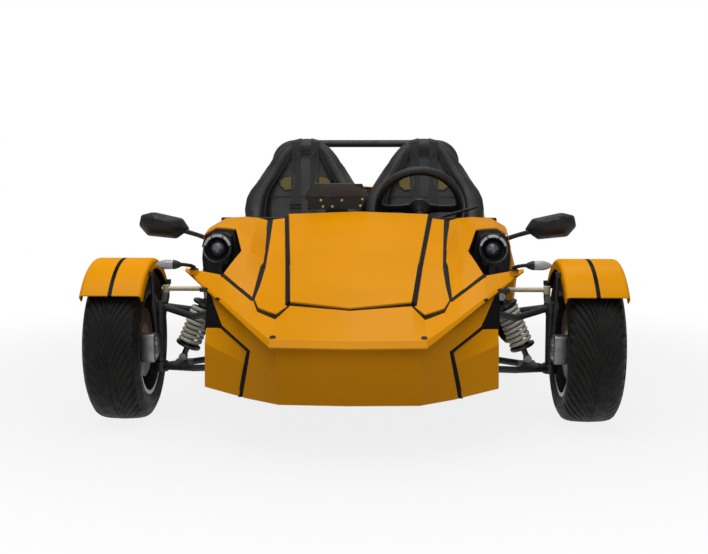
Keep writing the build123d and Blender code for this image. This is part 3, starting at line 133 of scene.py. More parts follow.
class Shade:
    """A shader socket that Python expressions can use, and the one way to add a node."""

    def __init__(self, tree, socket=None):
        self.tree = tree
        self.socket = socket

    def node(self, kind, settings=None, inputs=None, output=0):
        """Adds a node of one type, sets it up, feeds its sockets and wraps one of its outputs."""
        made = self.tree.nodes.new(kind)
        for key, value in (settings or {}).items():
            if key == "stops":
                ramp = made.color_ramp
                while len(ramp.elements) < len(value):
                    ramp.elements.new(0.5)
                for element, (place, colour) in zip(ramp.elements, value):
                    element.position = place
                    element.color = colour
            else:
                setattr(made, key, value)
        for key, value in (inputs or {}).items():
            if isinstance(value, Shade):
                self.tree.links.new(value.socket, made.inputs[key])
            else:
                made.inputs[key].default_value = value
        return Shade(self.tree, made.outputs[output] if len(made.outputs) else None)

    def calc(self, operation, other=0.0, flip=False):
        pair = (other, self) if flip else (self, other)
        return self.node("ShaderNodeMath", {"operation": operation}, dict(enumerate(pair)))

    def __add__(self, other):
        return self.calc("ADD", other)

    def __sub__(self, other):
        return self.calc("SUBTRACT", other)

    def __rsub__(self, other):
        return self.calc("SUBTRACT", other, flip=True)

    def __mul__(self, other):
        return self.calc("MULTIPLY", other)

    def __abs__(self):
        return self.calc("ABSOLUTE")

    __radd__ = __add__
    __rmul__ = __mul__

    def place(self):
        """The place on the piece, in metres."""
        return self.node("ShaderNodeTexCoord", output="Object")

    def axis(self, letter):
        """One coordinate of the place on the piece."""
        return self.node("ShaderNodeSeparateXYZ", inputs={0: self.place()}, output=letter)

    def noise(self, scale, detail=3.0):
        """Soft clouds from 0 to 1, this many to the metre."""
        inputs = {"Vector": self.place(), "Scale": scale, "Detail": detail}
        return self.node("ShaderNodeTexNoise", inputs=inputs)

    def cells(self, scale, feature="F1"):
        """Distance from the middle or the edge of cells, this many to the metre."""
        inputs = {"Vector": self.place(), "Scale": scale}
        return self.node("ShaderNodeTexVoronoi", {"feature": feature}, inputs, "Distance")

    def wave(self, letter, scale):
        """A sine wave along one coordinate."""
        return (self.axis(letter) * scale).calc("SINE")

    def ribs(self, letter, scale):
        """Rounded ribs from 0 to 1 along one coordinate."""
        return self.wave(letter, scale) * 0.5 + 0.5

    def prisms(self, scale):
        """A grid of rounded prisms from 0 to 1, across and up."""
        return self.wave("X", scale) * self.wave("Z", scale) * 0.5 + 0.5

    def step(self, low, high, to_low=0.0, to_high=1.0):
        """A smooth ramp of this value between two limits."""
        inputs = {"Value": self, "From Min": low, "From Max": high, "To Min": to_low, "To Max": to_high}
        return self.node("ShaderNodeMapRange", {"interpolation_type": "SMOOTHSTEP"}, inputs)

    def mix(self, first, second):
        """One colour giving way to another where this value rises."""
        colours = [value if isinstance(value, Shade) else (*value[:3], 1.0) for value in (first, second)]
        return self.node("ShaderNodeMix", {"data_type": "RGBA"}, {0: self, 6: colours[0], 7: colours[1]}, 2)

    def bump(self, distance, strength=0.4):
        """A bump map of this height in metres."""
        inputs = {"Strength": strength, "Distance": distance, "Height": self}
        return self.node("ShaderNodeBump", inputs=inputs)


def shader(name, recipe):
    """A material whose recipe returns the inputs of its surface."""
    made = bpy.data.materials.new(name)
    made.use_nodes = True
    made.node_tree.nodes.clear()
    root = Shade(made.node_tree)
    surface = root.node("ShaderNodeBsdfPrincipled", inputs=recipe(root))
    root.node("ShaderNodeOutputMaterial", inputs={"Surface": surface})
    return made


def scaled(colour, share):
    """A colour made darker or lighter."""
    return tuple(min(1.0, part * share) for part in colour)


def colours():
    return bpy.context.scene.trike_colours


def sizes():
    return bpy.context.scene.trike_sizes


def gloss(root, colour):
    """Sprayed gloss: slow changes of tone, faint smears, and the fine ripple of lacquer."""
    tone = root.noise(2.3, 4.0)
    smear = root.noise(14.0, 5.0)
    return {
        "Base Color": tone.step(0.3, 0.7).mix(scaled(colour, 0.94), scaled(colour, 1.04)),
        "Roughness": smear.step(0.35, 0.75, 0.38, 0.50),
        "Specular IOR Level": 0.0,
        "Coat Weight": 0.15,
        "Coat Roughness": 0.25,
        "Normal": root.noise(520.0, 2.0).bump(0.00012, 0.25),
    }


def body_paint(root, share=1.0):
    """Gloss on the outside of a panel, bare black plastic on its inside."""
    # share gives a lighter or darker copy of the body colour; the fenders' lighter copy is painted light
    made = gloss(root, scaled(colours().body, share))
    inside = root.node("ShaderNodeAttribute", {"attribute_name": "inside"}, output="Fac")
    made["Base Color"] = inside.mix(made["Base Color"], colours().trim)
    made["Roughness"] = made["Roughness"] + inside * 0.2
    return made


def fender_paint(root):
    """Body paint made 12 per cent lighter, which is painted light, with a black stripe along the middle of
    each front fender.
    """
    # 1.12 lightens the fenders' paint as painted light, because they lie away from the key lamp
    made = body_paint(root, 1.12)
    half = sizes().stripe / 2
    low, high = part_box("front_fender_left")
    off = abs(abs(root.axis("X")) - (low[0] + high[0]) / 2)
    made["Base Color"] = off.step(half - 0.0006, half + 0.0006).mix(colours().trim, made["Base Color"])
    return made


def moulded(root, colour, grain=900.0, rough=(0.38, 0.55)):
    """Grained plastic, a little paler where it is scuffed."""
    scuff = root.noise(22.0, 6.0).step(0.45, 0.8)
    grains = root.cells(grain)
    return {
        "Base Color": scuff.mix(colour, scaled(colour, 2.0)),
        "Roughness": root.noise(30.0).step(0.3, 0.7, *rough),
        "Specular IOR Level": 0.3,
        "Normal": grains.bump(0.0002, 0.35),
    }


def black_plastic(root):
    return moulded(root, colours().trim)


def seam_rubber(root):
    """Matt black rubber with dust in its pores."""
    dust = root.noise(40.0, 6.0).step(0.5, 0.85)
    return {
        "Base Color": dust.mix((0.003, 0.003, 0.003), (0.009, 0.0085, 0.008)),
        "Roughness": root.noise(80.0).step(0.3, 0.7, 0.5, 0.65),
        "Specular IOR Level": 0.12,
        "Normal": root.cells(900.0).bump(0.0002, 0.3),
    }


def gloss_black(root):
    """Smooth black lacquer."""
    made = gloss(root, (0.008, 0.008, 0.009))
    made["Specular IOR Level"] = 0.4
    made["Coat Weight"] = 0.3
    made["Coat Roughness"] = 0.05
    return made


def frame_paint(root):
    """Powder coat: matt black with a fine pebble and grey dust."""
    dust = root.noise(9.0, 6.0).step(0.45, 0.85)
    return {
        "Base Color": dust.mix((0.016, 0.016, 0.017), (0.045, 0.043, 0.040)),
        "Roughness": root.noise(60.0).step(0.3, 0.7, 0.42, 0.6),
        "Normal": root.noise(700.0, 2.0).bump(0.0003, 0.4),
    }


def spring_paint(root):
    """Cream enamel that road dirt has greyed."""
    grime = root.noise(45.0, 6.0).step(0.4, 0.75)
    return {
        "Base Color": grime.mix(colours().spring, scaled(colours().spring, 0.72)),
        "Roughness": grime.step(0.0, 1.0, 0.3, 0.55),
        "Normal": root.noise(240.0).bump(0.0002, 0.25),
    }


def bare_metal(root, colour, rough, scale=300.0):
    """Worked metal with fine turning marks and dull patches."""
    dull = root.noise(25.0, 6.0)
    return {
        "Base Color": dull.step(0.3, 0.75).mix(colour, scaled(colour, 0.72)),
        "Roughness": dull.step(0.3, 0.75, rough, rough + 0.16),
        "Metallic": 1.0,
        "Normal": root.noise(scale, 2.0).bump(0.0001, 0.3),
    }


def tie_rod_metal(root):
    """Pale enamelled steel, greyed by road dirt."""
    grime = root.noise(45.0, 6.0).step(0.45, 0.8)
    return {
        "Base Color": grime.mix((0.84, 0.72, 0.48), (0.60, 0.52, 0.36)),
        "Roughness": grime.step(0.0, 1.0, 0.3, 0.5),
        "Normal": root.noise(260.0).bump(0.0002, 0.25),
    }


def cast_alloy(root):
    return bare_metal(root, (0.30, 0.30, 0.305), 0.42, 800.0)


def disc_steel(root):
    return bare_metal(root, (0.06, 0.06, 0.062), 0.42, 160.0)


def chrome(root):
    return bare_metal(root, (0.80, 0.80, 0.82), 0.07)


def lamp_silver(root):
    """Silvered lamp trim with a soft frost; its pale, half-metallic grey is partly painted reflection, light
    where chrome would mirror dark.
    """
    frost = root.noise(30.0, 2.0)
    return {
        "Base Color": frost.step(0.3, 0.7).mix((0.42, 0.43, 0.45), (0.52, 0.53, 0.55)),
        "Roughness": frost.step(0.3, 0.7, 0.22, 0.36),
        "Metallic": 0.4,
    }


def brass(root):
    return bare_metal(root, (0.62, 0.42, 0.12), 0.25)


def rim_alloy(root):
    """Satin black wheel paint, worn to grey on its high places."""
    worn = root.noise(34.0, 6.0).step(0.55, 0.8)
    return {
        "Base Color": worn.mix((0.018, 0.018, 0.020), (0.060, 0.060, 0.064)),
        "Roughness": worn.step(0.0, 1.0, 0.30, 0.48),
        "Coat Weight": 0.2,
        "Normal": root.noise(420.0).bump(0.0002, 0.3),
    }


def motor_alloy(root):
    return bare_metal(root, (0.30, 0.30, 0.31), 0.38, 500.0)


def tyre_rubber(root):
    """Black rubber, greyed by dust in patches, with a fine moulding grain."""
    dust = root.noise(16.0, 7.0).step(0.42, 0.8)
    return {
        "Base Color": dust.mix((0.007, 0.0064, 0.006), (0.016, 0.0145, 0.013)),
        "Specular IOR Level": 0.2,
        "Roughness": root.noise(40.0).step(0.3, 0.7, 0.55, 0.72),
        "Normal": root.cells(1100.0).bump(0.0002, 0.3),
    }


def leather(root):
    """Grained hide: small cells between soft creases, shinier where it is rubbed."""
    cell = root.cells(420.0)
    edge = root.cells(420.0, "DISTANCE_TO_EDGE").step(0.0, 0.06)
    crease = root.noise(26.0, 5.0)
    rub = root.noise(7.0, 4.0).step(0.35, 0.7)
    return {
        "Base Color": rub.mix(colours().leather, scaled(colours().leather, 1.7)),
        "Roughness": rub.step(0.0, 1.0, 0.50, 0.38),
        "Specular IOR Level": 0.35,
        "Normal": (edge * 0.5 + crease * 0.7 - cell * 0.15).bump(0.0009, 0.4),
    }


def stitching(root):
    """Twisted grey thread."""
    twist = root.noise(900.0, 2.0)
    return {
        "Base Color": twist.step(0.3, 0.7).mix((0.010, 0.010, 0.010), (0.030, 0.029, 0.028)),
        "Roughness": 0.8,
        "Normal": twist.bump(0.0004, 0.5),
    }


def belt_webbing(root):
    """Woven belt: fine ribs across the strap and two rows along it."""
    rib = root.ribs("Z", 2600.0)
    thread = root.ribs("X", 3400.0)
    fuzz = root.noise(300.0)
    return {
        "Base Color": (rib * 0.6 + fuzz * 0.4).mix((0.008, 0.0078, 0.0078), (0.025, 0.0235, 0.023)),
        "Roughness": fuzz.step(0.3, 0.7, 0.65, 0.85),
        "Normal": (rib * 0.7 + thread * 0.3).bump(0.0006, 0.5),
    }


def signal_lens(root):
    """Clear moulded lens with fine upright prisms and a milky light behind."""
    prism = root.ribs("X", 900.0)
    return {
        "Base Color": prism.mix((0.30, 0.30, 0.29), (0.52, 0.52, 0.50)),
        "Roughness": root.noise(60.0).step(0.3, 0.7, 0.08, 0.18),
        "Coat Weight": 0.5,
        "Normal": prism.bump(0.0006, 0.4),
    }


def tail_lens(root):
    """Red lens with a grid of small prisms."""
    grid = root.prisms(700.0)
    return {
        "Base Color": grid.mix((0.30, 0.004, 0.004), (0.55, 0.015, 0.010)),
        "Roughness": root.noise(50.0).step(0.3, 0.7, 0.08, 0.2),
        "Coat Weight": 0.6,
        "Normal": grid.bump(0.0008, 0.5),
    }


def projector_glass(root):
    """Thick dark lens of a projector lamp, bluish towards its rim."""
    rim = root.noise(18.0, 3.0)
    return {
        "Base Color": rim.step(0.3, 0.7).mix((0.05, 0.06, 0.075), (0.16, 0.18, 0.21)),
        "Roughness": rim.step(0.3, 0.7, 0.03, 0.08),
        "Coat Weight": 1.0,
    }


def mirror_glass(root):
    """Silvered glass with a slight haze."""
    haze = root.noise(30.0, 4.0)
    return {
        "Base Color": haze.step(0.3, 0.7).mix((0.75, 0.77, 0.80), (0.66, 0.68, 0.71)),
        "Roughness": haze.step(0.3, 0.7, 0.02, 0.06),
        "Metallic": 1.0,
    }


def screen_glass(root):
    """Dark display glass with finger smears."""
    smear = root.noise(40.0, 6.0).step(0.4, 0.75)
    return {
        "Base Color": smear.mix((0.008, 0.009, 0.011), (0.020, 0.022, 0.025)),
        "Roughness": smear.step(0.0, 1.0, 0.06, 0.2),
        "Coat Weight": 0.8,
    }


def battery_case(root):
    return moulded(root, (0.050, 0.052, 0.055), 700.0, (0.45, 0.6))


def display_grey(root):
    return moulded(root, (0.030, 0.029, 0.028), 1000.0, (0.35, 0.5))


def lining_cloth(root):
    """Olive cloth seen inside the belt openings."""
    weave = root.prisms(2400.0)
    return {
        "Base Color": weave.mix((0.10, 0.075, 0.012), (0.22, 0.17, 0.04)),
        "Roughness": root.noise(200.0).step(0.3, 0.7, 0.7, 0.9),
        "Normal": weave.bump(0.0004, 0.5),
    }


def bolt_zinc(root):
    return bare_metal(root, (0.34, 0.34, 0.33), 0.36)


def floor_mat(root):
    """Ribbed rubber mat."""
    rib = root.ribs("Y", 520.0)
    dust = root.noise(10.0, 6.0).step(0.4, 0.8)
    return {
        "Base Color": dust.mix((0.014, 0.014, 0.014), (0.045, 0.042, 0.038)),
        "Roughness": dust.step(0.0, 1.0, 0.55, 0.8),
        "Normal": rib.bump(0.0015, 0.5),
    }


def finish(recipe):
    """The material of a finish, made at its first use."""
    name = f"{recipe.__name__}_finish"
    return bpy.data.materials.get(name) or shader(name, recipe)


def piece(bm, name, recipe, body, stands_for=(), crisp=CRISP):
    """Closes a shape as a piece of the trike that rides on a body."""
    bmesh.ops.remove_doubles(bm, verts=bm.verts[:], dist=1e-5)
    bmesh.ops.recalc_face_normals(bm, faces=bm.faces[:])
    if not bm.faces:
        raise RuntimeError(f"{name} has no faces")
    mesh = bpy.data.meshes.new(name)
    bm.to_mesh(mesh)
    bm.free()
    mesh.shade_smooth()
    mesh.set_sharp_from_angle(angle=crisp)
    mesh.materials.append(finish(recipe))
    made = bpy.data.objects.new(name, mesh)
    bpy.context.scene.collection.objects.link(made)
    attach(made, body)
    if stands_for:
        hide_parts(*stands_for)
    return made


def body_of(node):
    """The body that a solid rides on."""
    return next(name for name, nodes in BODY_NODES.items() if node in nodes)


def rounded(bm, edges, width, segments=2):
    """Rounds some edges of a shape."""
    bmesh.ops.bevel(
        bm, geom=edges, offset=width, offset_type="OFFSET", affect="EDGES", segments=segments,
        profile=0.5, material=-1, clamp_overlap=True,
    )


def eased(node, width):
    """A merged copy of a solid with its sharp edges rounded."""
    bm = bmesh.new()
    bm.from_mesh(NODES[node].data)
    bmesh.ops.remove_doubles(bm, verts=bm.verts[:], dist=1e-5)
    bmesh.ops.dissolve_limit(
        bm, angle_limit=math.radians(0.4), use_dissolve_boundaries=False,
        verts=bm.verts[:], edges=bm.edges[:], delimit=set(),
    )
    sharp = [
        edge for edge in bm.edges
        if len(edge.link_faces) == 2 and edge.calc_face_angle(0.0) > SHARP
    ]
    rounded(bm, sharp, width)
    return bm


def mark_inside(bm, outwards):
    """Marks the faces that the panel itself covers from outside, which paint doesn't reach."""
    bmesh.ops.recalc_face_normals(bm, faces=bm.faces[:])
    tree = BVHTree.FromBMesh(bm)
    layer = bm.faces.layers.float.new("inside")
    for face in bm.faces:
        middle = face.calc_center_median()
        covered = 0
        for vert in face.verts:
            start = vert.co.lerp(middle, 0.1) + face.normal * 0.005
            covered += tree.ray_cast(start, outwards(start).normalized())[0] is not None
        face[layer] = float(covered * 2 > len(face.verts))


def ease_node(node, recipe, width, outwards=None):
    """Puts a rounded and painted copy in a solid's place."""
    bm = eased(node, width)
    if outwards:
        mark_inside(bm, outwards)
    made = piece(bm, f"{node}_shape", recipe, body_of(node), (node,))
    even = made.modifiers.new("even_shading", "WEIGHTED_NORMAL")
    even.keep_sharp = True
    even.weight = 80


def chain(bm, points, closed=True):
    """A row of edges through a few points."""
    verts = [bm.verts.new(point) for point in points]
    edges = [bm.edges.new(pair) for pair in zip(verts, verts[1:])]
    if closed:
        edges.append(bm.edges.new((verts[-1], verts[0])))
    return edges


def bridged(bm, loops, capped=True):
    """A skin bridged over rows of edges, closed at both ends."""
    for first, second in zip(loops, loops[1:]):
        bmesh.ops.bridge_loops(bm, edges=[*first, *second])
    if capped:
        for loop in (loops[0], loops[-1]):
            bmesh.ops.edgeloop_fill(bm, edges=loop)


def lofted(bm, rows):
    """A solid over rows of points that each go round a section."""
    bridged(bm, [chain(bm, row) for row in rows])


def aimed(start, end):
    """A frame at a point with its Z axis towards another point."""
    return Matrix.Translation(start) @ (end - start).to_track_quat("Z", "Y").to_matrix().to_4x4()


def ring(bm, radius, place, sides=12):
    """A circle of edges across the Z axis of a frame."""
    verts = bmesh.ops.create_circle(bm, segments=sides, radius=radius, matrix=place)["verts"]
    return list({edge for vert in verts for edge in vert.link_edges})


def bar(bm, points, radii, sides=12):
    """A closed round bar through a row of points, with its radius at each."""
    loops = []
    for index, (point, radius) in enumerate(zip(points, radii)):
        low = points[max(index - 1, 0)]
        high = points[min(index + 1, len(points) - 1)]
        loops.append(ring(bm, radius, aimed(point, point + high - low), sides))
    bridged(bm, loops)


def turned(bm, profile, place, steps=32, angle=math.tau, closed=False):
    """A profile of radius and height, turned about the Z axis of a frame."""
    edges = chain(bm, [place @ Vector((radius, 0.0, height)) for radius, height in profile], closed)
    verts = list({vert for edge in edges for vert in edge.verts})
    whole = angle == math.tau
    last = bmesh.ops.spin(
        bm, geom=[*verts, *edges], cent=place.translation, axis=place.to_3x3() @ Vector((0, 0, 1)),
        angle=angle, steps=steps, use_merge=whole, dvec=(0, 0, 0),
    )["geom_last"]
    if closed and not whole:
        bmesh.ops.edgeloop_fill(bm, edges=edges)
        bmesh.ops.edgeloop_fill(bm, edges=[item for item in last if isinstance(item, bmesh.types.BMEdge)])


def slab(bm, points, push, rounding=0.0, segments=2):
    """A flat outline pushed into a solid, with its edges rounded."""
    face = bm.faces.new([bm.verts.new(point) for point in points])
    grown = bmesh.ops.extrude_face_region(bm, geom=[face])["geom"]
    tips = [item for item in grown if isinstance(item, bmesh.types.BMVert)]
    bmesh.ops.translate(bm, vec=push, verts=tips)
    if rounding:
        edges = list({edge for vert in [*face.verts, *tips] for edge in vert.link_edges})
        rounded(bm, edges, rounding, segments)


def bolt(bm, place, size):
    """A hexagon head on a washer, standing on the Z axis of a frame."""
    turned(bm, [(0.0, 0.0), (size * 1.5, 0.0), (size * 1.5, size * 0.2), (0.0, size * 0.2)], place, 16)
    turned(
        bm, [(0.0, 0.0), (size, 0.0), (size, size * 0.7), (size * 0.8, size * 0.9), (0.0, size * 0.9)],
        place @ Matrix.Translation((0, 0, size * 0.2)), 6,
    )


def facing(x, aft, z, direction):
    """A frame at a place in millimetres with its Z axis along a direction."""
    start = at(x, aft, z)
    return aimed(start, start + Vector(direction))


# The photograph's width and the lens's focal length in its pixels
PHOTO_WIDTH = 708.0
FOCAL_LENGTH = 1079.0
SENSOR_WIDTH = 36.0
CAMERA_PLACE = (0.110, -4.350, 0.830)
CAMERA_AIM = (-0.0319, 1.0, -0.1030)
FLOOR_REACH = 40.0
WHITE = (1.0, 1.0, 1.0, 1.0)
# Rows: name, place, target, size, power
LAMPS = (
    ("key", (-0.4, -1.6, 4.4), (0.0, -0.5, 0.4), 3.6, 112.0),
    ("fill", (0.8, -5.6, 2.8), (0.0, -0.6, 0.4), 3.0, 25.0),
    ("back", (0.6, 2.4, 5.2), (0.0, 0.8, 0.5), 2.6, 42.0),
)


def aim(direction):
    """The turn that points a lamp or the camera along a direction."""
    return direction.to_track_quat("-Z", "Y").to_euler()


def ray_is(root, *kinds):
    """1 where a ray is of one of these kinds."""
    found, *others = (root.node("ShaderNodeLightPath", output=kind) for kind in kinds)
    for other in others:
        found = found.calc("MAXIMUM", other)
    return found


def floor_paper():
    """Pale matt paper, white to the camera, that keeps the shadow near the trike."""
    paper = bpy.data.materials.new("floor_paper")
    paper.use_nodes = True
    paper.node_tree.nodes.clear()
    root = Shade(paper.node_tree)
    away = root.node("ShaderNodeVectorMath", {"operation": "LENGTH"}, {0: root.place()}, "Value")
    shown = ray_is(root, "Is Camera Ray", "Is Glossy Ray", "Is Transmission Ray")
    matt = root.node("ShaderNodeBsdfDiffuse", inputs={"Color": (0.42, 0.42, 0.42, 1.0)})
    white = root.node("ShaderNodeEmission", inputs={"Color": WHITE, "Strength": 1.0})
    share = shown * away.step(0.9, 2.6, 0.84, 1.0)
    mixed = root.node("ShaderNodeMixShader", inputs={0: share, 1: matt, 2: white})
    root.node("ShaderNodeOutputMaterial", inputs={"Surface": mixed})
    return paper


def studio_world():
    """Soft even light, white to the camera, with a part of that white in reflections."""
    world = bpy.data.worlds.new("studio")
    world.use_nodes = True
    world.node_tree.nodes.clear()
    root = Shade(world.node_tree)
    shown = ray_is(root, "Is Camera Ray", "Is Transmission Ray")
    soft = root.node("ShaderNodeBackground", inputs={"Color": WHITE, "Strength": 0.24})
    white = root.node("ShaderNodeBackground", inputs={"Color": WHITE, "Strength": 1.0})
    share = shown.calc("MAXIMUM", ray_is(root, "Is Glossy Ray") * 0.25)
    mixed = root.node("ShaderNodeMixShader", inputs={0: share, 1: soft, 2: white})
    root.node("ShaderNodeOutputWorld", inputs={"Surface": mixed})
    return world


class TRIKE_OT_stage(bpy.types.Operator):
    """Lays the floor, hangs the lamps and sets the camera"""

    bl_idname = "trike.stage"
    bl_label = "Stage"

    def execute(self, context):
        scene = context.scene
        scene.view_settings.view_transform = "Standard"
        scene.world = studio_world()
        bm = bmesh.new()
        bmesh.ops.create_grid(bm, x_segments=1, y_segments=1, size=FLOOR_REACH)
        mesh = bpy.data.meshes.new("floor")
        bm.to_mesh(mesh)
        bm.free()
        mesh.materials.append(floor_paper())
        floor = bpy.data.objects.new("floor", mesh)
        scene.collection.objects.link(floor)

        for name, place, target, size, power in LAMPS:
            lamp = bpy.data.lights.new(name, "AREA")
            lamp.size = size
            lamp.energy = power
            holder = bpy.data.objects.new(name, lamp)
            holder.location = place
            holder.rotation_euler = aim(Vector(target) - Vector(place))
            scene.collection.objects.link(holder)

        lens = bpy.data.cameras.new("camera")
        lens.sensor_fit = "HORIZONTAL"
        lens.sensor_width = SENSOR_WIDTH
        lens.lens = SENSOR_WIDTH * FOCAL_LENGTH / PHOTO_WIDTH
        camera = bpy.data.objects.new("camera", lens)
        camera.location = CAMERA_PLACE
        camera.rotation_euler = aim(Vector(CAMERA_AIM))
        scene.collection.objects.link(camera)
        scene.camera = camera
        return {"FINISHED"}


def upwards(point):
    """Out of a panel that lies flat."""
    return Vector((0, 0, 1))


def off_nose(point):
    """Out of a nose panel, away from the middle of the nose."""
    return point - at(0, 550, 100)


def sidewards(point):
    """Out of a side panel, and upwards where it leans in."""
    return Vector((point.x, 0, max(0, point.z - 0.3)))


def off_axle(point):
    """Out of a front fender, away from the front axle."""
    return Vector((0, point.y - FRONT_AXLE, point.z - FRONT_AXLE_Z / 1000))


# Rows: way out of the panels, their paint, the panels
PANELS = (
    (upwards, body_paint, (
        "hood", "hood_strip_left", "hood_strip_right", "front_cowl_left", "front_cowl_right", "rear_deck",
    )),
    (off_nose, body_paint, ("nose_panel", "nose_apron", "apron_corner_left", "apron_corner_right")),
    (sidewards, body_paint, ("side_pod_left", "side_pod_right", "rear_fairing_left", "rear_fairing_right")),
    (off_axle, fender_paint, ("front_fender_left", "front_fender_right")),
)


class TRIKE_OT_panels(bpy.types.Operator):
    """Rounds and paints the body panels and fenders"""

    bl_idname = "trike.panels"
    bl_label = "Body panels"

    def execute(self, context):
        for outwards, recipe, nodes in PANELS:
            for node in nodes:
                ease_node(node, recipe, sizes().panel_edge, outwards=outwards)
        return {"FINISHED"}


SEAM_DEPTH = 0.008
# Rows: distance aft, inner edge across and up, outer edge across and up
HOOD_SEAM = ((-346, 180, 433, 194, 420), (-50, 205, 514, 221, 511), (450, 253, 654, 270, 641))
STRIP_SEAM = (
    (-300, 291, 417, 303, 418), (-150, 287, 470, 302, 471), (-50, 285, 505, 302, 505),
    (120, 294, 549, 309, 554), (300, 304, 595, 322, 600), (450, 313, 634, 333, 632),
)
# Rows: across, front edge aft and up, rear edge aft and up
NOSE_SEAM = (
    (-294, -291, 423.4, -260, 429), (-276, -352, 402.2, -320, 408), (-217, -413, 389.3, -380, 395),
    (-178, -360, 423, -335, 426), (0, -408, 414, -388, 417), (178, -360, 423, -335, 426),
    (217, -413, 389.3, -380, 395), (276, -352, 402.2, -320, 408), (294, -291, 423.4, -260, 429),
)
# Rows: distance aft, edge of the deck across and up, edge of the fairing across and up
DECK_SEAM = (
    (1578, 195, 720, 206, 718), (1800, 191, 698, 200, 698),
    (2000, 187, 669.5, 197, 670), (2156, 184, 640.5, 195, 643.5),
)
# Rows: across, distance aft, height of the seam below a cowl
COWL_SEAM = ((296, -276, 427), (350, -215, 459), (408, -150, 494.5))
# Rows: distance aft, height of the louvre screen's edge and middle
LOUVRE_SCREEN = ((1690, 701, 710), (1900, 682, 692), (2070, 650, 659))
# Rows: inner and outer edge across, distance aft, height
CORNER_SEAM = (
    (307, 329, -404, 157), (298, 314, -426, 230), (287, 298, -441, 299),
    (331, 341, -389, 325), (387, 394, -318, 353),
)


def strip(bm, pairs, over, under):
    """A channel along pairs of points, from over its two edges to under them."""
    lofted(bm, [(first + over, second + over, second + under, first + under) for first, second in pairs])


class TRIKE_OT_seams(bpy.types.Operator):
    """Lays the black rubber channels between the body panels, and the panels' screws"""

    bl_idname = "trike.seams"
    bl_label = "Seams and screws"

    def execute(self, context):
        proud = Vector((0, 0, sizes().seam_height))
        deep = Vector((0, 0, -SEAM_DEPTH))
        ahead = Vector((0, -sizes().seam_height, 0))
        behind = Vector((0, SEAM_DEPTH, 0))
        for side, sign in SIDES:
            bm = bmesh.new()
            for seam in (HOOD_SEAM, STRIP_SEAM, DECK_SEAM):
                strip(bm, [
                    (at(sign * inner, aft, inner_z), at(sign * outer, aft, outer_z))
                    for aft, inner, inner_z, outer, outer_z in seam
                ], proud, deep)
            strip(bm, [
                (at(sign * (across + 5), aft - 13, z - 2.5), at(sign * (across - 3), aft + 5, z))
                for across, aft, z in COWL_SEAM
            ], proud, deep)
            piece(bm, f"panel_channel_{side}", seam_rubber, "chassis")

            bm = bmesh.new()
            strip(bm, [
                (at(sign * inner, aft, z), at(sign * outer, aft + 3, z - 1))
                for inner, outer, aft, z in CORNER_SEAM
            ], ahead, behind)
            piece(bm, f"corner_channel_{side}", seam_rubber, "chassis")

            bm = bmesh.new()
            outline = (at(sign * 388, -306, 352), at(sign * 452, -184, 458), at(sign * 448, -262, 334))
            slab(bm, outline, Vector((0, 0.004, 0)), 0.001)
            piece(bm, f"corner_filler_{side}", seam_rubber, "chassis")

            bm = bmesh.new()
            for across, aft, z in ((400, -296, 432), (448, -224, 454)):
                bar(bm, [at(sign * (across - 5), aft + 7, z - 3), at(sign * (across + 5), aft - 6, z + 2)],
                    [0.0048, 0.0048], 8)
            turned(
                bm, [(0.0, 0.0006), (0.0045, 0.0006), (0.0055, 0.003), (0.0085, 0.003), (0.0095, 0.0),
                     (0.0095, -0.004), (0.0, -0.004)],
                facing(sign * 210, -548, 356.5, (0, -0.25, 1)), 20,
            )
            piece(bm, f"panel_screw_{side}", gloss_black, "chassis")

        bm = bmesh.new()
        strip(bm, [
            (at(across, front, front_z), at(across, rear, rear_z))
            for across, front, front_z, rear, rear_z in NOSE_SEAM
        ], proud, deep)
        piece(bm, "nose_channel", seam_rubber, "chassis")

        bm = bmesh.new()
        rows = []
        for aft, edge_z, middle_z in LOUVRE_SCREEN:
            upper = [at(-138, aft, edge_z), at(0, aft, middle_z), at(138, aft, edge_z)]
            rows.append([*upper, *(point - Vector((0, 0, 0.002)) for point in reversed(upper))])
        lofted(bm, rows)
        piece(bm, "louvre_screen", black_plastic, "chassis")
        return {"FINISHED"}


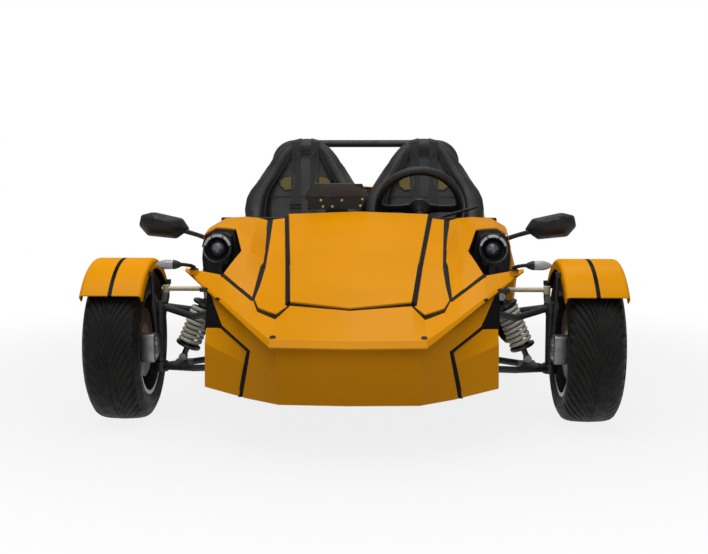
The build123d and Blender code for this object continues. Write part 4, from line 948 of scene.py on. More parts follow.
def tyre(node, body, rim, grooves):
    """A closed tyre whose grooves sweep from the middle of the tread to its shoulders."""
    low, high = (Vector(corner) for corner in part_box(node))
    centre = (low + high) / 2
    half = (high.x - low.x) / 2
    radius = (high.z - low.z) / 2
    tread = (
        (0.0, 0.0), (0.05, 0.0001), (0.10, 0.0002), (0.17, 0.0004), (0.26, 0.0007), (0.36, 0.0011),
        (0.48, 0.0017), (0.58, 0.0028), (0.68, 0.0046), (0.775, 0.0074), (0.86, 0.0125), (0.94, 0.0235),
    )
    middle = (radius + rim) / 2
    wall = (
        (half - 0.0024, radius - 0.031), (half - 0.0006, radius - 0.034), (half, middle + 0.006),
        (half - 0.0004, middle - 0.004), (half - 0.0016, middle - 0.006), (half - 0.0012, rim + 0.030),
        (half - 0.0030, rim + 0.027), (half - 0.0035, rim + 0.020), (half - 0.0080, rim + 0.010),
        (half - 0.0140, rim),
    )
    sweep = math.radians(sizes().tread_sweep)
    one_side = [(share * half, radius - drop, -sweep * (share / 0.94) ** 0.55) for share, drop in tread]
    one_side += [(across, reach, -sweep) for across, reach in wall]
    profile = one_side + [(-across, reach, turn) for across, reach, turn in reversed(one_side[1:])]
    bm = bmesh.new()
    edges = chain(bm, [
        centre + Matrix.Rotation(turn, 3, "X") @ Vector((across, 0.0, reach))
        for across, reach, turn in profile
    ])
    geom = [*{vert for edge in edges for vert in edge.verts}, *edges]
    period = math.tau / grooves
    spun = {"cent": centre, "axis": (1, 0, 0), "dvec": (0, 0, 0)}
    geom = bmesh.ops.spin(bm, geom=geom, angle=period * 0.66, steps=3, **spun)["geom_last"]
    lands = set(bm.faces)
    bmesh.ops.spin(bm, geom=geom, angle=period * 0.34, steps=1, **spun)
    cut = [
        face for face in bm.faces
        if face not in lands and 0.05 < abs(face.calc_center_median().x - centre.x) / half < 0.90
        and (face.calc_center_median() - centre).yz.length > radius - 0.020
    ]
    grown = bmesh.ops.extrude_face_region(bm, geom=cut)["geom"]
    share = 1 - sizes().tread_depth / radius
    bmesh.ops.scale(
        bm, vec=(1, share, share), space=Matrix.Translation(-centre),
        verts=[item for item in grown if isinstance(item, bmesh.types.BMVert)],
    )
    whole = [*bm.verts, *bm.edges, *bm.faces]
    bmesh.ops.spin(bm, geom=whole, angle=math.tau - period, steps=grooves - 1, use_duplicate=True, **spun)
    piece(bm, f"{node}_tread", tyre_rubber, body, (node,))


class TRIKE_OT_tyres(bpy.types.Operator):
    """Makes the tyres with their swept grooves and stepped walls"""

    bl_idname = "trike.tyres"
    bl_label = "Tyres"

    def execute(self, context):
        for side, _ in SIDES:
            tyre(f"front_tyre_{side}", f"wheel_front_{side}", 0.165, 44)
        tyre("rear_tyre", "wheel_rear", 0.190, 46)
        return {"FINISHED"}


# Rows: radius, height
WHEEL_CAP = ((0.0, 0.010), (0.012, 0.0095), (0.019, 0.006), (0.022, 0.0), (0.022, -0.003), (0.0, -0.003))
CALIPER_AFT = -106
# Rows: distance aft and height from the caliper's middle
CALIPER_OUTLINE = ((-26, -45), (18, -45), (28, -30), (28, 30), (18, 45), (-26, 45), (-31, 38), (-31, -38))


def bolt_circle(bm, x, aft, z, direction, radius, count, size):
    """A ring of bolts about an axle, all facing one direction."""
    for index in range(count):
        turn = math.tau * (index + 0.5) / count
        bolt(bm, facing(x, aft + radius * math.sin(turn), z + radius * math.cos(turn), direction), size)


class TRIKE_OT_wheels(bpy.types.Operator):
    """Makes the rims, their bolts and caps, the brake discs and the calipers"""

    bl_idname = "trike.wheels"
    bl_label = "Rims and brakes"

    def execute(self, context):
        for side, sign in SIDES:
            ease_node(f"front_rim_{side}", rim_alloy, sizes().part_edge)
            wheel = f"wheel_front_{side}"
            out = (sign, 0, 0)
            bm = bmesh.new()
            turned(bm, WHEEL_CAP, facing(sign * 797, 0, FRONT_AXLE_Z, out), 28)
            bolt_circle(bm, sign * 796, 0, FRONT_AXLE_Z, out, 31, 5, 0.0055)
            valve = [at(sign * 800, 152, FRONT_AXLE_Z), at(sign * 826, 160, FRONT_AXLE_Z)]
            bar(bm, valve, [0.003, 0.0036], 8)
            piece(bm, f"wheel_cap_{side}", cast_alloy, wheel)
            bm = bmesh.new()
            turned(
                bm, [(0.062, -0.0004), (0.1126, -0.0004), (0.1126, 0.0054), (0.062, 0.0054)],
                facing(sign * 692, 0, FRONT_AXLE_Z, out), 72, closed=True,
            )
            piece(bm, f"brake_disc_{side}", disc_steel, wheel)

            ease_node(f"knuckle_{side}", frame_paint, sizes().part_edge)
            bm = bmesh.new()
            outline = [at(sign * 632, CALIPER_AFT + aft, FRONT_AXLE_Z + z) for aft, z in CALIPER_OUTLINE]
            slab(bm, outline, Vector((sign * 0.040, 0, 0)), 0.005, 3)
            for z in (-20, 20):
                turned(
                    bm, [(0.0, 0.007), (0.010, 0.007), (0.013, 0.004), (0.015, 0.0), (0.0, 0.0)],
                    facing(sign * 633, CALIPER_AFT, FRONT_AXLE_Z + z, (-sign, 0, 0)), 24,
                )
            piece(bm, f"brake_caliper_{side}", cast_alloy, f"knuckle_{side}")

        ease_node("rear_rim", rim_alloy, sizes().part_edge)
        ease_node("hub_motor", motor_alloy, sizes().part_edge)
        bm = bmesh.new()
        for sign in (1, -1):
            turned(
                bm, [(0.030, 0.004), (0.090, 0.004), (0.094, 0.0), (0.094, -0.003), (0.030, -0.003)],
                facing(sign * 59, REAR_AXLE_AFT, REAR_AXLE_Z, (sign, 0, 0)), 48, closed=True,
            )
            bolt_circle(bm, sign * 59, REAR_AXLE_AFT, REAR_AXLE_Z, (sign, 0, 0), 106, 10, 0.005)
        piece(bm, "hub_motor_covers", cast_alloy, "wheel_rear")
        return {"FINISHED"}


# Radius of a spring, radius of its wire, turns
COIL = (0.033, 0.0065, 8)


def spring_leg(name, node, foot, head, across, coil, wire, turns):
    """A painted coil spring round a damper, between two eyes."""
    axis = (head - foot).normalized()
    length = (head - foot).length
    low, high = 0.2 * length, 0.86 * length
    bm = bmesh.new()
    start = foot + axis * (low + wire + 0.004) + across * coil
    steps = turns * 22
    first = ring(bm, wire, aimed(start, start + axis.cross(across)), 10)
    rise = (high - low - 2 * wire - 0.008) / steps
    last = bmesh.ops.spin(
        bm, geom=[*{vert for edge in first for vert in edge.verts}, *first], cent=foot, axis=axis,
        angle=math.tau * turns, steps=steps, dvec=axis * rise,
    )["geom_last"]
    bmesh.ops.edgeloop_fill(bm, edges=first)
    bmesh.ops.edgeloop_fill(bm, edges=[item for item in last if isinstance(item, bmesh.types.BMEdge)])
    piece(bm, f"{name}_spring", spring_paint, body_of(node), (node,))

    bm = bmesh.new()
    stand = aimed(foot, head)
    cup = coil + wire + 0.002
    turned(bm, [
        (0.0, 0.010), (0.0095, 0.012), (0.0095, low - 0.008), (cup - 0.004, low - 0.006),
        (cup, low - 0.003), (cup, low + 0.004), (cup - 0.002, low + 0.005),
        (coil - wire - 0.002, low + 0.005), (coil - wire - 0.004, low + 0.016),
        (0.0115, low + 0.020), (0.0098, low + 0.026), (0.0098, length * 0.48),
        (coil * 0.50, length * 0.485), (coil * 0.62, length * 0.50), (coil * 0.62, high - 0.004),
        (cup - 0.002, high - 0.004), (cup, high - 0.002), (cup, high + 0.004), (cup - 0.005, high + 0.007),
        (0.014, high + 0.009), (0.0110, length - 0.010), (0.0, length - 0.008),
    ], stand, 28)
    piece(bm, f"{name}_damper", gloss_black, body_of(node))

    bm = bmesh.new()
    for end in (foot, head):
        eye = aimed(end - across * 0.015, end)
        turned(bm, [
            (0.0, 0.001), (0.0060, 0.001), (0.0065, 0.0), (0.0125, 0.0), (0.0132, 0.0015),
            (0.0132, 0.0285), (0.0125, 0.030), (0.0065, 0.030), (0.0060, 0.029), (0.0, 0.029),
        ], eye, 24)
    piece(bm, f"{name}_eyes", cast_alloy, body_of(node))


class TRIKE_OT_springs(bpy.types.Operator):
    """Winds the coil springs round their dampers"""

    bl_idname = "trike.springs"
    bl_label = "Springs and dampers"

    def execute(self, context):
        for side, sign in SIDES:
            spring_leg(
                f"front_leg_{side}", f"front_damper_{side}",
                at(sign * 566, 0, 203.3), at(sign * 478, 0, 408), Vector((0, 1, 0)), *COIL,
            )
        spring_leg(
            "rear_leg", "rear_damper", at(0, 1650, 343.3), at(0, 1630, 560), Vector((1, 0, 0)), *COIL,
        )
        return {"FINISHED"}


# Rows: across, height
# The outer corners reach over the cowl's side wall: black that is partly brackets and partly painted shade
BUCKET_OUTLINE = (
    (380, 470), (404, 585), (410, 618), (471, 620), (502, 602), (516, 562), (520, 520), (516, 468),
)
# Rows: across, radius of the turn signal's lens
SIGNAL_LEAF = (
    (535, 3), (540, 6.5), (548, 10.5), (558, 13.4), (571, 15), (585, 15), (596, 12.8), (606, 9), (612, 5),
    (616, 1.5),
)


class TRIKE_OT_lamps(bpy.types.Operator):
    """Makes the headlamps, turn signals and tail lamps"""

    bl_idname = "trike.lamps"
    bl_label = "Lamps"

    def execute(self, context):
        for side, sign in SIDES:
            ease_node(f"headlamp_{side}", black_plastic, 0.003)
            front = facing(sign * 452, 22, 560, (0, -1, 0))
            bm = bmesh.new()
            turned(bm, [
                (0.0395, -0.020), (0.0400, -0.002), (0.0420, 0.002), (0.0455, 0.0015),
                (0.0470, -0.002), (0.0470, -0.028), (0.0462, -0.028),
            ], front, 48)
            piece(bm, f"headlamp_bezel_{side}", gloss_black, "chassis")
            bm = bmesh.new()
            for index in range(3):
                begin = math.radians(15 + 52 * index)
                turned(
                    bm,
                    [(0.0372, 0.0), (0.0385, 0.0034), (0.0448, 0.0034), (0.0458, 0.001), (0.0430, -0.004)],
                    front @ Matrix.Rotation(begin, 4, "Z"), 12, math.radians(46), True,
                )
            piece(bm, f"headlamp_ring_{side}", lamp_silver, "chassis")
            bm = bmesh.new()
            turned(bm, [
                (0.0, 0.001), (0.008, -0.0002), (0.015, -0.0035), (0.0205, -0.009),
                (0.0232, -0.016), (0.0232, -0.024), (0.0, -0.024),
            ], front, 36)
            piece(bm, f"headlamp_lens_{side}", projector_glass, "chassis")
            bm = bmesh.new()
            turned(bm, [
                (0.0236, -0.012), (0.0262, -0.008), (0.0275, -0.010), (0.0290, -0.020),
                (0.0336, -0.013), (0.0336, -0.026), (0.0236, -0.026),
            ], front, 40, closed=True)
            piece(bm, f"headlamp_bowl_{side}", rim_alloy, "chassis")
            bm = bmesh.new()
            # The bucket's black outer part stands partly for the shadow on the cowl's side wall: painted
            # shade
            slab(bm, [at(sign * x, 120, z) for x, z in BUCKET_OUTLINE], Vector((0, 0.006, 0)), 0.002)
            piece(bm, f"headlamp_bucket_{side}", black_plastic, "chassis")

            bm = bmesh.new()
            axle = facing(0, -168, 524, (sign, 0, 0))
            leaf = [(radius / 1000, across / 1000) for across, radius in SIGNAL_LEAF]
            turned(bm, [(0.0, 0.535), *leaf, (0.0, 0.6165)], axle, 24)
            node = f"turn_signal_{side}"
            piece(bm, f"turn_signal_lens_{side}", signal_lens, "chassis", (node,))
            bm = bmesh.new()
            turned(bm, [
                (0.0052, 0.5345), (0.0095, 0.541), (0.0128, 0.549), (0.0146, 0.556),
                (0.0152, 0.560), (0.0145, 0.560), (0.0120, 0.549), (0.0050, 0.540),
            ], axle, 24, closed=True)
            bar(bm, [at(sign * 505, -116, 503.5), at(sign * 505, -118, 511), at(sign * 511, -130, 517),
                     at(sign * 528, -158, 523), at(sign * 537, -168, 524), at(sign * 541, -168, 524)],
                [0.0085, 0.0070, 0.0060, 0.0055, 0.0062, 0.0062])
            turned(bm, [(0.0, 0.004), (0.012, 0.004), (0.014, 0.002), (0.0145, -0.001), (0.0, -0.001)],
                   facing(sign * 505, -116, 504, (0, 0, 1)), 24)
            piece(bm, f"turn_signal_stalk_{side}", black_plastic, "chassis")

            rear = facing(sign * 224, 2170.3, 586, (0, 1, 0))
            bm = bmesh.new()
            turned(bm, [(0.0, 0.0185), (0.012, 0.018), (0.024, 0.0165), (0.033, 0.0135), (0.0375, 0.0095),
                        (0.0385, 0.004), (0.0385, 0.0), (0.0, 0.0)], rear, 40)
            piece(bm, f"tail_lamp_lens_{side}", tail_lens, "chassis", (f"tail_lamp_{side}",))
            bm = bmesh.new()
            turned(bm, [(0.0385, 0.0), (0.0385, 0.008), (0.0400, 0.0105), (0.0425, 0.0105), (0.0440, 0.008),
                        (0.0440, 0.0)], rear, 48, closed=True)
            turned(
                bm, [(0.0, 0.0200), (0.008, 0.0195), (0.010, 0.0185), (0.010, 0.016), (0.0, 0.016)], rear, 20,
            )
            piece(bm, f"tail_lamp_bezel_{side}", gloss_black, "chassis")
        return {"FINISHED"}


# Rows: across, height
MIRROR_OUTLINE = ((575, 612), (600, 650), (700, 672), (742, 662), (750, 625), (720, 590), (620, 580))
# Rows: distance aft, share of the outline, lift
MIRROR_SECTIONS = (
    (158, 0.42, 5), (166, 0.72, 4), (182, 0.95, 1), (196, 1.0, 0), (216, 0.98, 0), (223, 0.93, 0),
    (221, 0.88, 0),
)
# Rows: radius, height
MIRROR_FOOT = ((0.0, 0.006), (0.012, 0.006), (0.017, 0.003), (0.018, 0.0), (0.018, -0.004), (0.0, -0.004))


class TRIKE_OT_mirrors(bpy.types.Operator):
    """Makes the mirrors' housings, glasses and arms"""

    bl_idname = "trike.mirrors"
    bl_label = "Mirrors"

    def execute(self, context):
        for side, sign in SIDES:
            bm = bmesh.new()
            lofted(bm, [self.section(sign, *row) for row in MIRROR_SECTIONS])
            corners = [edge for edge in bm.edges if abs((edge.verts[0].co - edge.verts[1].co).y) > 0.0005]
            rounded(bm, corners, 0.014, 4)
            node = f"mirror_{side}"
            piece(bm, f"mirror_housing_{side}", black_plastic, "chassis", (node,))
            bm = bmesh.new()
            slab(bm, self.section(sign, 220, 0.86, 0), Vector((0, 0.0018, 0)), 0.0006)
            piece(bm, f"mirror_glass_{side}", mirror_glass, "chassis")
            bm = bmesh.new()
            bar(bm, [at(sign * 486, 138, 577), at(sign * 500, 146, 583), at(sign * 545, 168, 596),
                     at(sign * 588, 190, 606), at(sign * 606, 198, 612)],
                [0.011, 0.0085, 0.0078, 0.0085, 0.012], 14)
            turned(bm, MIRROR_FOOT, facing(sign * 490, 140, 577, (0.9 * sign, 0.2, 0.5)), 24)
            piece(bm, f"mirror_arm_{side}", black_plastic, "chassis")
        return {"FINISHED"}

    def section(self, sign, aft, share, lift):
        """The mirror's outline at a distance aft, drawn in about its middle and lifted."""
        middle_x = sum(x for x, _ in MIRROR_OUTLINE) / len(MIRROR_OUTLINE)
        middle_z = sum(z for _, z in MIRROR_OUTLINE) / len(MIRROR_OUTLINE)
        return [
            at(sign * (middle_x + (x - middle_x) * share), aft, middle_z + lift + (z - middle_z) * share)
            for x, z in MIRROR_OUTLINE
        ]


STEERING_CENTRE = at(228, 650, 668)
STEERING_AXIS = Vector((0, 0.9063, 0.4226))
# Radius of the steering wheel's grip, half its thickness, and the sides of its section
GRIP_RADIUS = 0.158
GRIP_HALF = 0.0165
GRIP_SIDES = 14
# Rows: distance from the wheel's middle, distance from the spoke's middle
SPOKE_OUTLINE = (
    (0.036, -0.020), (0.075, -0.014), (0.120, -0.014), (0.147, -0.020), (0.147, 0.020),
    (0.120, 0.014), (0.075, 0.014), (0.036, 0.020),
)


class TRIKE_OT_steering(bpy.types.Operator):
    """Makes the steering wheel with its wrapped grip, spokes and hub"""

    bl_idname = "trike.steering"
    bl_label = "Steering wheel"

    def execute(self, context):
        axis = STEERING_AXIS
        tilt = Matrix(((1, 0, 0), (0, -axis.z, axis.y), (0, axis.y, axis.z)))
        place = Matrix.Translation(STEERING_CENTRE) @ tilt.to_4x4()
        spokes = [place @ Matrix.Rotation(math.radians(-turn), 4, "Z") for turn in (0, 90, 180)]
        bm = bmesh.new()
        section = [
            (GRIP_RADIUS + GRIP_HALF * math.cos(turn), GRIP_HALF * math.sin(turn))
            for turn in (math.tau * index / GRIP_SIDES for index in range(GRIP_SIDES))
        ]
        turned(bm, section, place, 72, closed=True)
        piece(bm, "steering_grip", leather, "steering_wheel", ("steering_wheel",))
        bm = bmesh.new()
        turned(bm, [
            (0.0, 0.012), (0.026, 0.011), (0.034, 0.008), (0.040, 0.004), (0.044, -0.002), (0.044, -0.012),
            (0.030, -0.018), (0.018, -0.030), (0.0145, -0.034), (0.0139, -0.180), (0.0, -0.180),
        ], place, 36)
        for spoke in spokes:
            slab(bm, [spoke @ Vector((x, y, -0.006)) for x, y in SPOKE_OUTLINE], axis * 0.009, 0.002)
        piece(bm, "steering_hub", black_plastic, "steering_wheel")
        bm = bmesh.new()
        for spoke in spokes:
            for reach in (0.070, 0.100):
                bolt(bm, spoke @ Matrix.Translation((reach, 0, 0.003)), 0.0045)
        piece(bm, "steering_screws", chrome, "steering_wheel")
        return {"FINISHED"}


class TRIKE_OT_cockpit(bpy.types.Operator):
    """Makes the dashboard, the display's cover and glass, the floor mats and the pedal pads"""

    bl_idname = "trike.cockpit"
    bl_label = "Cockpit"

    def execute(self, context):
        ease_node("dashboard", black_plastic, 0.003)
        ease_node("floor_tub", black_plastic, 0.002)
        bm = bmesh.new()
        cover = ((-201, 716), (35, 716), (31, 740), (-30, 766), (-166, 766))
        slab(bm, [at(x, 487.5, z) for x, z in cover], Vector((0, 0.050, 0)), 0.003)
        piece(bm, "display_cover", display_grey, "chassis")
        bm = bmesh.new()
        glass = ((-160, 680), (-4, 680), (22, 716), (4, 755), (-164, 755), (-188, 716))
        slab(bm, [at(x, 536, z) for x, z in glass], Vector((0, 0.003, 0)), 0.001)
        piece(bm, "display_glass", screen_glass, "chassis")
        bm = bmesh.new()
        for x, z in ((-132, 681), (-97, 681), (6, 684), (-140, 704), (14, 708), (-62, 704)):
            bolt(bm, facing(x, 489.5, z, (0, -1, 0)), 0.0030)
        piece(bm, "display_screws", brass, "chassis")

        bm = bmesh.new()
        for low, high in ((-515, -15), (15, 515)):
            outline = [at(x, aft, 168.3) for x, aft in ((low, 560), (high, 560), (high, 935), (low, 935))]
            slab(bm, outline, Vector((0, 0, 0.006)), 0.002)
            for index in range(11):
                aft = 585 + index * 32
                rib = ((low + 25, aft), (high - 25, aft), (high - 25, aft + 14), (low + 25, aft + 14))
                slab(bm, [at(x, y, 174) for x, y in rib], Vector((0, 0, 0.003)), 0.001, 1)
        piece(bm, "floor_mats", floor_mat, "chassis")

        bm = bmesh.new()
        tilt = Matrix.Rotation(math.radians(-20), 4, "X")
        for x in (178, 268):
            place = Matrix.Translation(at(x, 259, 300)) @ tilt
            outline = ((-0.029, -0.045), (0.029, -0.045), (0.029, 0.045), (-0.029, 0.045))
            out = place.to_3x3() @ Vector((0, 1, 0))
            slab(bm, [place @ Vector((u, 0.0052, v)) for u, v in outline], out * 0.004, 0.0015)
            for index in range(6):
                v = -0.034 + index * 0.0135
                rib = ((-0.023, v - 0.003), (0.023, v - 0.003), (0.023, v + 0.003), (-0.023, v + 0.003))
                slab(bm, [place @ Vector((a, 0.0090, b)) for a, b in rib], out * 0.0025, 0.0008, 1)
        piece(bm, "pedal_pads", floor_mat, "chassis")
        return {"FINISHED"}


FITTINGS = {
    black_plastic: ("tail_panel", "rear_fender"),
    frame_paint: (
        "frame_rail_left", "frame_rail_right", "front_subframe", "rear_frame", "roll_hoop", "swing_arm",
        "upper_arm_left", "upper_arm_right", "lower_arm_left", "lower_arm_right",
    ),
    battery_case: ("battery_pack",),
    tie_rod_metal: ("steering_rack",),
}


class TRIKE_OT_fittings(bpy.types.Operator):
    """Rounds and paints the frame, the arms, the rack and the battery, and adds their bolts"""

    bl_idname = "trike.fittings"
    bl_label = "Frame and fittings"

    def execute(self, context):
        for recipe, nodes in FITTINGS.items():
            for node in nodes:
                ease_node(node, recipe, sizes().part_edge)
        bm = bmesh.new()
        for _, sign in SIDES:
            for aft in (-130, 130):
                away = math.copysign(1, aft)
                for z in (196, 390):
                    bolt(bm, facing(sign * 335, aft + 22 * away, z, (0, away, 0)), 0.008)
            bolt(bm, facing(sign * 153.5, REAR_AXLE_AFT, REAR_AXLE_Z, (sign, 0, 0)), 0.013)
            bolt(bm, facing(sign * 165, 1612, 290, (sign, 0, 0)), 0.011)
        piece(bm, "frame_bolts", bolt_zinc, "chassis")
        return {"FINISHED"}


# Rows: height, half width, depth of the padded edge, its width, depth of the panel inside it
SEAT_BACK = (
    (232, 236, 118, 52, 66), (330, 243, 142, 56, 66), (420, 248, 158, 60, 66), (500, 252, 164, 64, 66),
    (575, 254, 165, 68, 66), (640, 264, 152, 76, 66), (690, 262, 140, 80, 66), (725, 250, 126, 80, 66),
    (760, 228, 114, 78, 66), (795, 202, 105, 74, 66), (830, 178, 100, 70, 66), (865, 157, 97, 66, 66),
    (884, 143, 96, 62, 72), (905, 126, 94, 56, 84), (926, 106, 91, 44, 88), (944, 82, 86, 32, 86),
    (956, 58, 79, 20, 79), (962, 34, 70, 10, 70),
)
# Rows: distance aft, height of the padded edge, height of the panel inside it
SEAT_CUSHION = (
    (948, 286, 276), (953, 308, 290), (970, 328, 304), (1000, 346, 317), (1060, 352, 317), (1150, 353, 309),
    (1250, 351, 298), (1332, 348, 288),
)
SEAT_BACK_DEPTH = 70
# Pressure inside a seat's cover, and the frames that it swells for
PAD_PRESSURE = 4.0
PAD_FRAMES = 20


def seat_front(z):
    """How far aft the front of a seat's back lies at a height, in millimetres."""
    return 1270 + (z - 250) * math.tan(math.radians(20))


def evaluated(holder):
    """The mesh that an object's modifiers make."""
    graph = bpy.context.evaluated_depsgraph_get()
    return bpy.data.meshes.new_from_object(holder.evaluated_get(graph))


def padded(bm, name, shrink, limit):
    """A closed shape remeshed finely and swollen by cloth, moved by no more than a limit."""
    scene = bpy.context.scene
    mesh = bpy.data.meshes.new(name)
    bm.to_mesh(mesh)
    bm.free()
    holder = bpy.data.objects.new(name, mesh)
    scene.collection.objects.link(holder)
    remesh = holder.modifiers.new("remesh", "REMESH")
    remesh.mode = "VOXEL"
    remesh.voxel_size = sizes().voxel
    solid = evaluated(holder)
    holder.modifiers.clear()
    bm = bmesh.new()
    bm.from_mesh(solid)
    for _ in range(6):
        bmesh.ops.smooth_vert(
            bm, verts=bm.verts[:], factor=0.5, use_axis_x=True, use_axis_y=True, use_axis_z=True,
        )
    bm.normal_update()
    for vert in bm.verts:
        vert.co -= vert.normal * shrink
    bm.to_mesh(solid)
    bm.free()
    holder.data = solid
    start = [vert.co.copy() for vert in solid.vertices]
    cloth = holder.modifiers.new("cloth", "CLOTH")
    cloth.settings.use_pressure = True
    cloth.settings.uniform_pressure_force = PAD_PRESSURE
    cloth.settings.effector_weights.gravity = 0.0
    for number in range(1, PAD_FRAMES + 1):
        scene.frame_set(number)
    swollen = evaluated(holder)
    scene.frame_set(1)
    for vert, before in zip(swollen.vertices, start):
        move = vert.co - before
        if move.length > limit:
            vert.co = before + move.normalized() * limit
    solid = swollen
    bpy.data.objects.remove(holder)
    bm = bmesh.new()
    bm.from_mesh(solid)
    return bm


def seat_form(bm, middle):
    """The cushion and the back of a seat, each with a padded edge round a sunken panel."""
    rows = []
    for aft, edge, panel in SEAT_CUSHION:
        side = (
            (243, 169), (245, edge - 14), (236, edge), (190, edge + 4), (150, panel), (60, panel - 3),
        )
        section = [(-243, 169), *side, *((-x, z) for x, z in reversed(side[1:]))]
        rows.append([at(middle + x, aft, z) for x, z in section])
    lofted(bm, rows)
    rows = []
    for z, half, edge, width, panel in SEAT_BACK:
        back = seat_front(z) + SEAT_BACK_DEPTH
        inner = half - width
        slope = max(inner - 30, inner * 0.6)
        side = (
            (half - 14, back), (half, back - 16), (half, back - edge + 16), (half - 10, back - edge + 2),
            (half - width / 2, back - edge - 4), (inner, back - edge + 4), (slope, back - panel),
        )
        section = [*side, *((-x, y) for x, y in reversed(side))]
        rows.append([at(middle + x, y, z) for x, y in section])
    lofted(bm, rows)


def on_surface(tree, start, direction, lift):
    """A place on a surface that a ray meets, lifted off it, and the lift's direction."""
    place, normal, _, _ = tree.ray_cast(start, direction)
    if place is None:
        raise RuntimeError("a seam or belt misses its seat")
    return place + normal * lift, normal


def on_back(tree, x, z, lift):
    """A place on the front of a seat's back, from millimetres across and up, and the lift's direction."""
    return on_surface(tree, at(x, 900, z), Vector((0, 1, 0)), lift)


# Rows: across, height
OPENING_OUTLINE = ((22, 790), (66, 786), (92, 764), (86, 736), (58, 716), (26, 722), (14, 752))
OPENING_MIDDLE = Vector((52, 752))
# How far the openings stand from the middle of the back
OPENING_SHIFT = 30
# Rows: across, height on the front of the back
STRAP_FRONT = (
    (34, 420), (36, 470), (38, 530), (40, 600), (42, 670), (43, 730), (44, 790), (44, 840), (44, 880),
    (44, 910), (44, 930),
)
# Distances aft over the top of the back, heights behind it, and how far across the strap lies there
STRAP_TOP = (1488, 1504, 1520, 1536, 1552, 1566)
STRAP_BEHIND = (915, 880, 840)
STRAP_TOP_X = 44
STRAP_HALF = 21


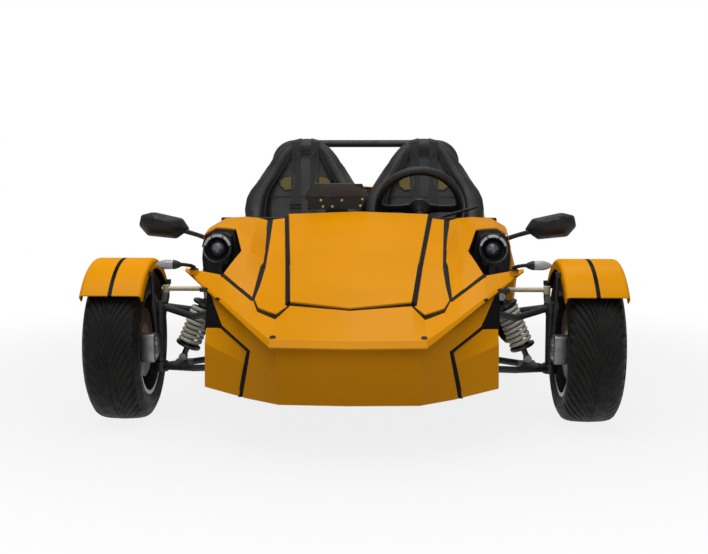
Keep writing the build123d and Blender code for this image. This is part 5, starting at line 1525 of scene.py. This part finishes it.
class TRIKE_OT_seats(bpy.types.Operator):
    """Makes the padded seats with their piping and belt openings, and lays the belts over them"""

    bl_idname = "trike.seats"
    bl_label = "Seats and belts"

    def execute(self, context):
        bm = bmesh.new()
        seat_form(bm, SEAT_X)
        bmesh.ops.recalc_face_normals(bm, faces=bm.faces[:])
        swollen = padded(bm, "seat_form", shrink=0.004, limit=0.008)
        shape = bpy.data.meshes.new("seat_shape")
        swollen.to_mesh(shape)
        swollen.free()
        for side, sign in SIDES:
            middle = sign * SEAT_X
            bm = bmesh.new()
            bm.from_mesh(shape)
            bmesh.ops.translate(bm, vec=((middle - SEAT_X) / 1000, 0, 0), verts=bm.verts[:])
            tree = BVHTree.FromBMesh(bm)
            made = piece(
                bm, f"seat_pad_{side}", leather, "chassis", (f"seat_{side}",), math.pi,
            )
            self.piping(tree, side, middle)
            self.openings(tree, side, middle)
            self.belts(tree, side, middle)
        return {"FINISHED"}

    def piping(self, tree, side, middle):
        """Sews a thin roll along the inside of the padded edge and across the seat."""
        bm = bmesh.new()
        edge = [(half - width - 12, z) for z, half, _, width, _ in SEAT_BACK if 420 <= z <= 870]
        arch = edge + [(58, 878), (34, 886)]
        path = arch + [(-x, z) for x, z in reversed(arch)]
        points = [on_back(tree, middle + x, z, 0.0008)[0] for x, z in path]
        bar(bm, points, [0.0032] * len(points), 8)
        for z in (560, 690):
            half = next(half - width - 16 for row, half, _, width, _ in SEAT_BACK if row >= z)
            across = [half * share for share in (-1, -0.75, -0.5, -0.25, 0, 0.25, 0.5, 0.75, 1)]
            points = [on_back(tree, middle + x, z, 0.0004)[0] for x in across]
            bar(bm, points, [0.0022] * len(points), 8)
        for x in (-150, 150):
            points = [on_surface(tree, at(middle + x, aft, 600), Vector((0, 0, -1)), 0.0006)[0]
                      for aft in range(975, 1211, 30)]
            bar(bm, points, [0.0028] * len(points), 8)
        piece(bm, f"seat_piping_{side}", stitching, "chassis")

    def openings(self, tree, side, middle):
        """Sets the belt openings' grey rims and their linings into the back."""
        rims, linings = bmesh.new(), bmesh.new()
        for turn in (-1, 1):
            loops = []
            for share, lift in ((0.80, 0.001), (0.84, 0.006), (1.0, 0.006), (1.06, -0.002)):
                loops.append(chain(rims, self.opening(tree, middle, turn, share, lift)))
            bridged(rims, loops, False)
            inner = self.opening(tree, middle, turn, 0.84, 0.0016)
            bmesh.ops.edgeloop_fill(linings, edges=chain(linings, inner))
        bmesh.ops.recalc_face_normals(rims, faces=rims.faces[:])
        bmesh.ops.solidify(rims, geom=rims.faces[:], thickness=0.001)
        bmesh.ops.recalc_face_normals(linings, faces=linings.faces[:])
        bmesh.ops.solidify(linings, geom=linings.faces[:], thickness=0.001)
        piece(rims, f"belt_opening_{side}", display_grey, "chassis")
        piece(linings, f"belt_lining_{side}", lining_cloth, "chassis")

    def opening(self, tree, middle, turn, share, lift):
        """A belt opening's outline on the back, drawn in or out about its middle and lifted."""
        points = []
        for corner in OPENING_OUTLINE:
            spread = OPENING_MIDDLE + (Vector(corner) - OPENING_MIDDLE) * share
            points.append(on_back(tree, middle + turn * (spread.x + OPENING_SHIFT), spread.y, lift)[0])
        return points

    def belts(self, tree, side, middle):
        """Lays two straps down the front of the back from behind its top, with adjusters and a clip."""
        bm = bmesh.new()
        fittings = bmesh.new()
        for turn in (-1, 1):
            rows = []
            stops = [(x, "front", z) for x, z in STRAP_FRONT]
            stops += [(STRAP_TOP_X, "top", aft) for aft in STRAP_TOP]
            stops += [(STRAP_TOP_X, "back", z) for z in STRAP_BEHIND]
            for across, way, value in stops:
                row = []
                for edge in (-STRAP_HALF, STRAP_HALF):
                    x = middle + turn * across + edge
                    if way == "front":
                        start, direction = at(x, 900, value), Vector((0, 1, 0))
                    elif way == "top":
                        start, direction = at(x, value, 1200), Vector((0, 0, -1))
                    else:
                        start, direction = at(x, 1900, value), Vector((0, -1, 0))
                    row.append(on_surface(tree, start, direction, 0.0012))
                (left, left_out), (right, right_out) = row
                rows.append((left, right, right + right_out * 0.003, left + left_out * 0.003))
            lofted(bm, rows)
            for z in (640, 654):
                place, out = on_back(tree, middle + turn * 41, z, 0.004)
                outline = ((-27, -4), (27, -4), (27, 4), (-27, 4))
                corners = [place + Vector((x / 1000, 0, y / 1000)) for x, y in outline]
                slab(fittings, corners, out * 0.004, 0.001)
        piece(bm, f"belt_{side}", belt_webbing, "chassis", (f"harness_{side}",))
        place, out = on_back(tree, middle, 520, 0.004)
        outline = ((-58, -12), (-50, -16), (50, -16), (58, -12), (58, 12), (50, 16), (-50, 16), (-58, 12))
        corners = [place + Vector((x / 1000, 0, y / 1000)) for x, y in outline]
        slab(fittings, corners, out * 0.009, 0.003)
        piece(fittings, f"belt_clip_{side}", gloss_black, "chassis")


class TRIKE_PT_parts(bpy.types.Panel):
    """Lists the trike's makers, sizes and colours"""

    bl_idname = "TRIKE_PT_parts"
    bl_label = "Electric trike"
    bl_space_type = "VIEW_3D"
    bl_region_type = "UI"
    bl_category = "Trike"

    def draw(self, context):
        for operator in OPERATORS:
            self.layout.operator(operator.bl_idname)
        for group in (context.scene.trike_sizes, context.scene.trike_colours):
            for name in group.__annotations__:
                self.layout.prop(group, name)


OPERATORS = (
    TRIKE_OT_stage,
    TRIKE_OT_panels,
    TRIKE_OT_seams,
    TRIKE_OT_tyres,
    TRIKE_OT_wheels,
    TRIKE_OT_springs,
    TRIKE_OT_lamps,
    TRIKE_OT_mirrors,
    TRIKE_OT_steering,
    TRIKE_OT_cockpit,
    TRIKE_OT_fittings,
    TRIKE_OT_seats,
)
CLASSES = (TrikeColours, TrikeSizes, *OPERATORS, TRIKE_PT_parts)


def register():
    for made in CLASSES:
        bpy.utils.register_class(made)
    bpy.types.Scene.trike_colours = bpy.props.PointerProperty(type=TrikeColours)
    bpy.types.Scene.trike_sizes = bpy.props.PointerProperty(type=TrikeSizes)


def unregister():
    del bpy.types.Scene.trike_sizes
    del bpy.types.Scene.trike_colours
    for made in reversed(CLASSES):
        bpy.utils.unregister_class(made)


def main():
    register()
    for operator in OPERATORS:
        group, name = operator.bl_idname.split(".")
        getattr(getattr(bpy.ops, group), name)()


if __name__ == "__main__":
    main()
